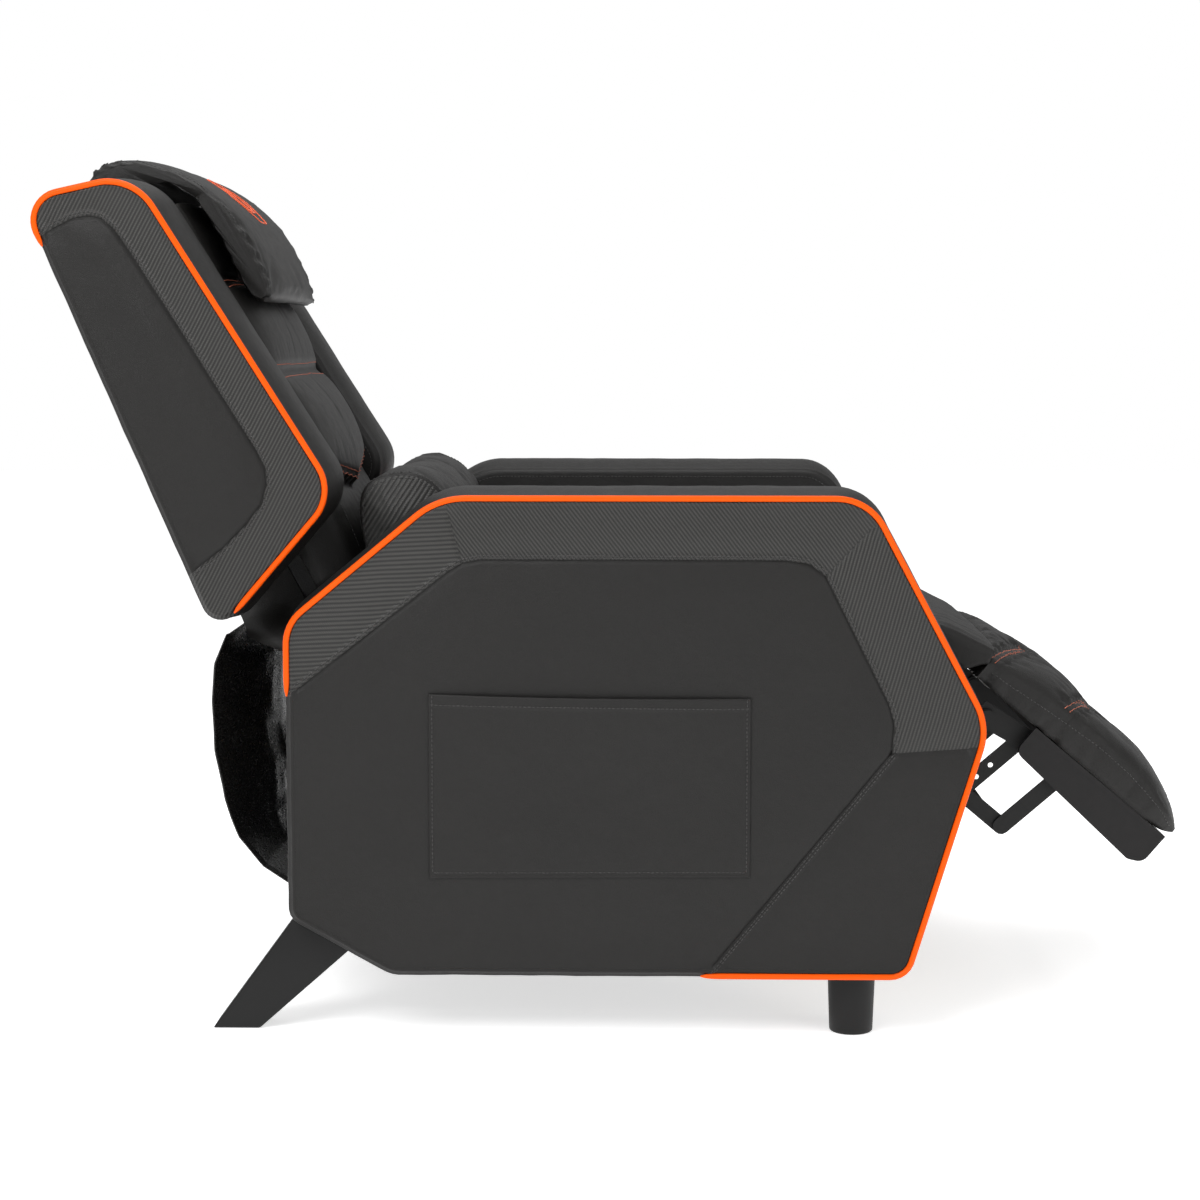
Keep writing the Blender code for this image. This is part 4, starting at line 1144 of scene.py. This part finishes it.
def build_footrest():
    first, last = -0.1595, 0.1445

    def front(i, j):
        p = first + (last - first) * i
        x = pad_half(p) * j
        high = profile(p, PAD_TOP)
        for seam in PAD_SEAMS:
            gap = p - seam_line(seam, x)
            high = high - (1 - 0.5 * np.abs(j) ** 6) * (0.0030 * hill(gap, 0.010) + 0.0032 * puckers(gap))
        return x, p, rounded_height(profile(p, PAD_SIDE), high, j)

    def floor(i, j):
        p = first + (last - first) * i
        return 0.0190 + 0.009 * np.clip((p - 0.116) / 0.0285, 0, 1) ** 2

    pad = slab("footrest_cushion", 130, 96, front, floor, 0.08, tray_place)
    co = coordinates(pad)
    p, q = side_axes(co, TRAY_PIVOT, TRAY_SLOPE, TRAY_SLOPE + 90)
    near = np.minimum(*(np.abs(p - seam_line(seam, co[:, 0])) for seam in PAD_SEAMS))
    pinned = np.maximum(1 - smooth((near - 0.007) / 0.009), 1 - smooth((q - 0.0195) / 0.006))
    rim_seam = 1 - smooth(np.abs(q - profile(p, PAD_SIDE)) / 0.004)
    pinned = np.maximum(pinned, rim_seam * (np.abs(co[:, 0]) > 0.90 * pad_half(p)) * 0.8)
    puffed(pad, pinned, 4.0, 0.018, 0.006)
    co = coordinates(pad)
    gather = 0.0010 * np.sin(co[:, 0] * 2 * math.pi / 0.021 + 2.5 * rumple(co, 30, 3.0))
    creased(pad, (0.0007, 26, 5.2), extra=gather * (hill(near - 0.013, 0.010) + hill(near - 0.011, 0.006)))
    dress(pad, "footrest", [finish("leather")], ["footrest_pad"])
    surface = surface_of(pad)
    reach = np.linspace(-0.255, 0.255, 70)
    rows = []
    for seam in PAD_SEAMS:
        for shift in (-ACCENT_SHIFT, ACCENT_SHIFT):
            line = seam_line(seam, reach) + shift
            height = rounded_height(profile(line, PAD_SIDE), profile(line, PAD_TOP), reach / 0.261)
            rows.append([world(*tray_place(*spot)) for spot in zip(reach, line, height)])
    stitched("footrest_accent_stitching", surface, rows, finish("accent"), "footrest")
    edges = [[world(*tray_place(sign * pad_half(v) * 0.999, v, profile(v, PAD_SIDE) - 0.003))
              for v in np.linspace(-0.150, 0.135, 60)] for sign in (-1, 1)]
    stitched("footrest_side_stitching", surface, edges, finish("thread"), "footrest")

    pivot = on_tray(-0.166, 0.052)
    ahead, up = heading(FLAP_ANGLE), heading(FLAP_ANGLE - 90)

    def flap_place(x, d, h):
        return x, pivot.x + ahead.x * d + up.x * h, pivot.y + ahead.y * d + up.y * h

    def flap_front(i, j):
        crown = 0.0115 * (1 - np.abs(j) ** 4) ** 0.5 * np.clip(4 * (i + 0.12) * (1.05 - i), 0, 1) ** 0.6
        return 0.2575 * j, -0.004 + 0.076 * i, 0.0010 + crown

    flap = slab("footrest_fold", 36, 90, flap_front, lambda i, j: -0.0150 - 0.017 * smooth(i / 0.35), 0.14,
                flap_place)
    creased(flap, (0.0010, 26, 1.2), extra=0.0005 * np.sin(coordinates(flap)[:, 0] * 2 * math.pi / 0.024))
    dress(flap, "flap", [finish("leather")], ["footrest_flap"])


def build_sheets():
    path = spaced([(-0.5050, 0.4550), (-0.5190, 0.4200), (-0.5210, 0.3750), (-0.5180, 0.3150), (-0.5070, 0.2580),
                   (-0.4890, 0.2110), (-0.4620, 0.1760), (-0.4250, 0.1500), (-0.4030, 0.1400)], 0.003)

    def hanging(i, j):
        at = i * (len(path) - 1)
        u, z = (np.interp(at, np.arange(len(path)), path[:, k]) for k in (0, 1))
        x = SEAT_HALF * (2 * j - 1)
        points = np.stack([x, z * 0.8, np.zeros_like(x)], axis=1)
        folds = 0.0055 * rumple(points, 9, 2.0) + 0.0020 * rumple(points, 26, 4.0)
        edge = 0.0012 * (np.minimum(j, 1 - j) * 2 * SEAT_HALF < 0.010)
        slack = 0.045 * 4 * j * (1 - j) * smooth((0.455 - z) / 0.040) * smooth((z - 0.160) / 0.120)
        return x, u + slack - (folds + 0.003) * np.sin(i * math.pi) ** 0.6 - edge, z

    sheet = grid("rear_curtain_cloth", 90, 120, hanging)
    thickened(sheet, 0.0014, 0.0)
    dress(sheet, None, [finish("curtain")], ["rear_curtain"])
    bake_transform(sheet)

    low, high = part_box("dust_cover")

    def lining(i, j):
        x = low.x + (high.x - low.x) * j
        u = CENTRE - high.y + (high.y - low.y) * i
        points = np.stack([x, u, np.zeros_like(x)], axis=1)
        sag = (0.0015 * rumple(points, 12, 3.3) - 0.004) * np.sin(i * math.pi) * np.sin(j * math.pi)
        return x, u, (low.z + high.z) / 2 + sag

    cloth = grid("dust_cloth", 60, 60, lining)
    thickened(cloth, 0.0006, -1.0)
    dress(cloth, None, [finish("lining")], ["dust_cover"])
    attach(cloth, "base")


def softened(leg):
    """Rounds a leg's edges."""
    soft = leg.modifiers.new("edge", "BEVEL")
    soft.width = 0.0022
    soft.segments = 3
    soft.limit_method = "ANGLE"
    bpy.ops.object.modifier_apply(modifier=soft.name)
    bpy.ops.object.shade_smooth_by_angle(angle=math.radians(40))


def build_legs():
    for _, name in SIDES:
        low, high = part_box("front_leg_" + name)
        deselect()
        bpy.ops.mesh.primitive_cone_add(vertices=72, radius1=0.0252, radius2=0.0280, depth=high.z - low.z,
                                        location=(low + high) / 2)
        leg = bpy.context.object
        leg.name = "front_foot_" + name
        bpy.ops.object.transform_apply(location=True, rotation=True, scale=True)
        softened(leg)
        dress(leg, "base", [finish("leg_plastic")], ["front_leg_" + name])
        copy = bpy.data.objects.new("rear_foot_" + name, frame["nodes"]["rear_leg_" + name].data.copy())
        bpy.context.scene.collection.objects.link(copy)
        active(copy)
        bpy.ops.object.mode_set(mode="EDIT")
        bpy.ops.mesh.select_all(action="SELECT")
        bpy.ops.mesh.remove_doubles(threshold=0.00002)
        bpy.ops.mesh.tris_convert_to_quads()
        bpy.ops.mesh.dissolve_limited(angle_limit=math.radians(1))
        bpy.ops.object.mode_set(mode="OBJECT")
        softened(copy)
        dress(copy, "base", [finish("leg_plastic")], ["rear_leg_" + name])


# Timber that shows from behind is wrapped in the same black lining as the underside.
WRAPPED = ("back_frame", "rear_rail")


def finish_nodes():
    slots = {row["node"]: row["material_slot"] for row in frame["record"]["subparts"]}
    for name, node in frame["nodes"].items():
        if node.hide_render:
            continue
        key = "lining" if name in WRAPPED else slots.get(name, "black_steel")
        node.data.materials.clear()
        node.data.materials.append(finish(key if key in MAKERS else "leather"))


CAMERA_DOWN, CAMERA_ASIDE = 6.0018, 1.2277      # degrees below level, and towards the rear
LAMPS = (("key", (-2.6, 1.3, 2.7), 1.8, 75.0), ("fill", (-2.2, -2.6, 1.6), 2.2, 26.0),
         ("over", (0.3, 0.1, 3.1), 2.4, 46.0))  # name, place, size in metres and power in watts


def build_stage():
    scene = bpy.context.scene
    camera = bpy.data.cameras.new("view")
    camera.lens = 74.19
    camera.sensor_width = 36.0
    viewer = bpy.data.objects.new("view", camera)
    scene.collection.objects.link(viewer)
    viewer.location = (-3.17, CENTRE, 0.8034)
    down, aside = math.radians(CAMERA_DOWN), math.radians(CAMERA_ASIDE)
    ahead = Vector((math.cos(down) * math.cos(aside), math.cos(down) * math.sin(aside), -math.sin(down)))
    viewer.rotation_euler = ahead.to_track_quat("-Z", "Y").to_euler()
    scene.camera = viewer
    scene.view_settings.view_transform = "Standard"
    studio = bpy.data.worlds.new("studio")
    scene.world = studio
    studio.use_nodes = True
    back = studio.node_tree.nodes["Background"]
    back.inputs["Color"].default_value = (1, 1, 1, 1)
    # The backdrop is white to the camera, and dimmer as a light.
    path = add(studio.node_tree, "LightPath")
    seen = add(studio.node_tree, "MapRange", {0: path.outputs["Is Camera Ray"], 3: 0.46, 4: 1.0})
    studio.node_tree.links.new(seen.outputs[0], back.inputs["Strength"])
    deselect()
    bpy.ops.mesh.primitive_plane_add(size=24, location=(0, 0, -0.0005))
    floor = bpy.context.object
    floor.name = "floor"
    made, tree, shader, where = blank("matt_white_paint", Roughness=0.8, Specular_IOR_Level=0.1,
                                      Base_Color=(0.97, 0.97, 0.97, 1), Emission_Color=(1, 1, 1, 1),
                                      Emission_Strength=0.62)
    grit = add(tree, "TexNoise", {"Vector": where, "Scale": 300.0, "Detail": 2.0})
    bump = add(tree, "Bump", {"Height": grit.outputs[0], "Distance": 0.0001, "Strength": 1.0})
    tree.links.new(bump.outputs["Normal"], shader.inputs["Normal"])
    floor.data.materials.append(made)
    for name, place, size, power in LAMPS:
        light = bpy.data.lights.new(name, "AREA")
        light.size = size
        light.energy = power
        lamp = bpy.data.objects.new(name, light)
        scene.collection.objects.link(lamp)
        lamp.location = place
        lamp.rotation_euler = (Vector((0, 0, 0.5)) - Vector(place)).to_track_quat("-Z", "Y").to_euler()



# ---------------------------------------------------------------- operators and panel

class CHAIR_OT_stage(bpy.types.Operator):
    """Camera, floor and studio light"""
    bl_idname = "chair.stage"
    bl_label = "Stage"

    def execute(self, context):
        build_stage()
        return {"FINISHED"}


class CHAIR_OT_arms(bpy.types.Operator):
    """Both padded side arms with their seams and piping"""
    bl_idname = "chair.arms"
    bl_label = "Arms"

    def execute(self, context):
        for side, name in SIDES:
            build_arm(side, name)
        return {"FINISHED"}


class CHAIR_OT_pocket(bpy.types.Operator):
    """Flat stitched pocket on the right arm"""
    bl_idname = "chair.pocket"
    bl_label = "Side pocket"

    def execute(self, context):
        build_pocket()
        return {"FINISHED"}


class CHAIR_OT_wings(bpy.types.Operator):
    """Both wings of the back"""
    bl_idname = "chair.wings"
    bl_label = "Wings"

    def execute(self, context):
        for side, name in SIDES:
            build_wing(side, name)
        return {"FINISHED"}


class CHAIR_OT_back(bpy.types.Operator):
    """Back cushion with its sewn pads, and the padded rear cover"""
    bl_idname = "chair.back"
    bl_label = "Back"

    def execute(self, context):
        build_back()
        return {"FINISHED"}


class CHAIR_OT_pillows(bpy.types.Operator):
    """Head and lumbar pillows"""
    bl_idname = "chair.pillows"
    bl_label = "Pillows"

    def execute(self, context):
        build_head_pillow()
        build_lumbar_pillow()
        return {"FINISHED"}


class CHAIR_OT_seat(bpy.types.Operator):
    """Seat cushion"""
    bl_idname = "chair.seat"
    bl_label = "Seat"

    def execute(self, context):
        build_seat()
        return {"FINISHED"}


class CHAIR_OT_footrest(bpy.types.Operator):
    """Footrest cushion and its fold"""
    bl_idname = "chair.footrest"
    bl_label = "Footrest"

    def execute(self, context):
        build_footrest()
        return {"FINISHED"}


class CHAIR_OT_sheets(bpy.types.Operator):
    """Rear curtain and dust cloth"""
    bl_idname = "chair.sheets"
    bl_label = "Curtain and lining"

    def execute(self, context):
        build_sheets()
        return {"FINISHED"}


class CHAIR_OT_legs(bpy.types.Operator):
    """Front and rear legs"""
    bl_idname = "chair.legs"
    bl_label = "Legs"

    def execute(self, context):
        build_legs()
        return {"FINISHED"}


class CHAIR_OT_finishes(bpy.types.Operator):
    """Materials of the frame's own pieces"""
    bl_idname = "chair.finishes"
    bl_label = "Frame finishes"

    def execute(self, context):
        finish_nodes()
        return {"FINISHED"}


STEPS = (CHAIR_OT_stage, CHAIR_OT_arms, CHAIR_OT_pocket, CHAIR_OT_wings, CHAIR_OT_back, CHAIR_OT_pillows,
         CHAIR_OT_seat, CHAIR_OT_footrest, CHAIR_OT_sheets, CHAIR_OT_legs, CHAIR_OT_finishes)


class CHAIR_PT_panel(bpy.types.Panel):
    """Lists the chair's pieces"""
    bl_idname = "CHAIR_PT_panel"
    bl_label = "Reclining chair"
    bl_space_type = "VIEW_3D"
    bl_region_type = "UI"
    bl_category = "Chair"

    def draw(self, context):
        for group in (context.scene.chair_sizes, context.scene.chair_colours):
            for key in group.__annotations__:
                self.layout.prop(group, key)
        for step in STEPS:
            self.layout.operator(step.bl_idname)


CLASSES = (ChairSizes, ChairColours, *STEPS, CHAIR_PT_panel)


def register():
    for made in CLASSES:
        bpy.utils.register_class(made)
    bpy.types.Scene.chair_sizes = bpy.props.PointerProperty(type=ChairSizes)
    bpy.types.Scene.chair_colours = bpy.props.PointerProperty(type=ChairColours)


def unregister():
    del bpy.types.Scene.chair_colours
    del bpy.types.Scene.chair_sizes
    for made in reversed(CLASSES):
        bpy.utils.unregister_class(made)


def main():
    register()
    bpy.ops.chair.stage()
    bpy.ops.chair.arms()
    bpy.ops.chair.pocket()
    bpy.ops.chair.wings()
    bpy.ops.chair.back()
    bpy.ops.chair.pillows()
    bpy.ops.chair.seat()
    bpy.ops.chair.footrest()
    bpy.ops.chair.sheets()
    bpy.ops.chair.legs()
    bpy.ops.chair.finishes()


if __name__ == "__main__":
    main()
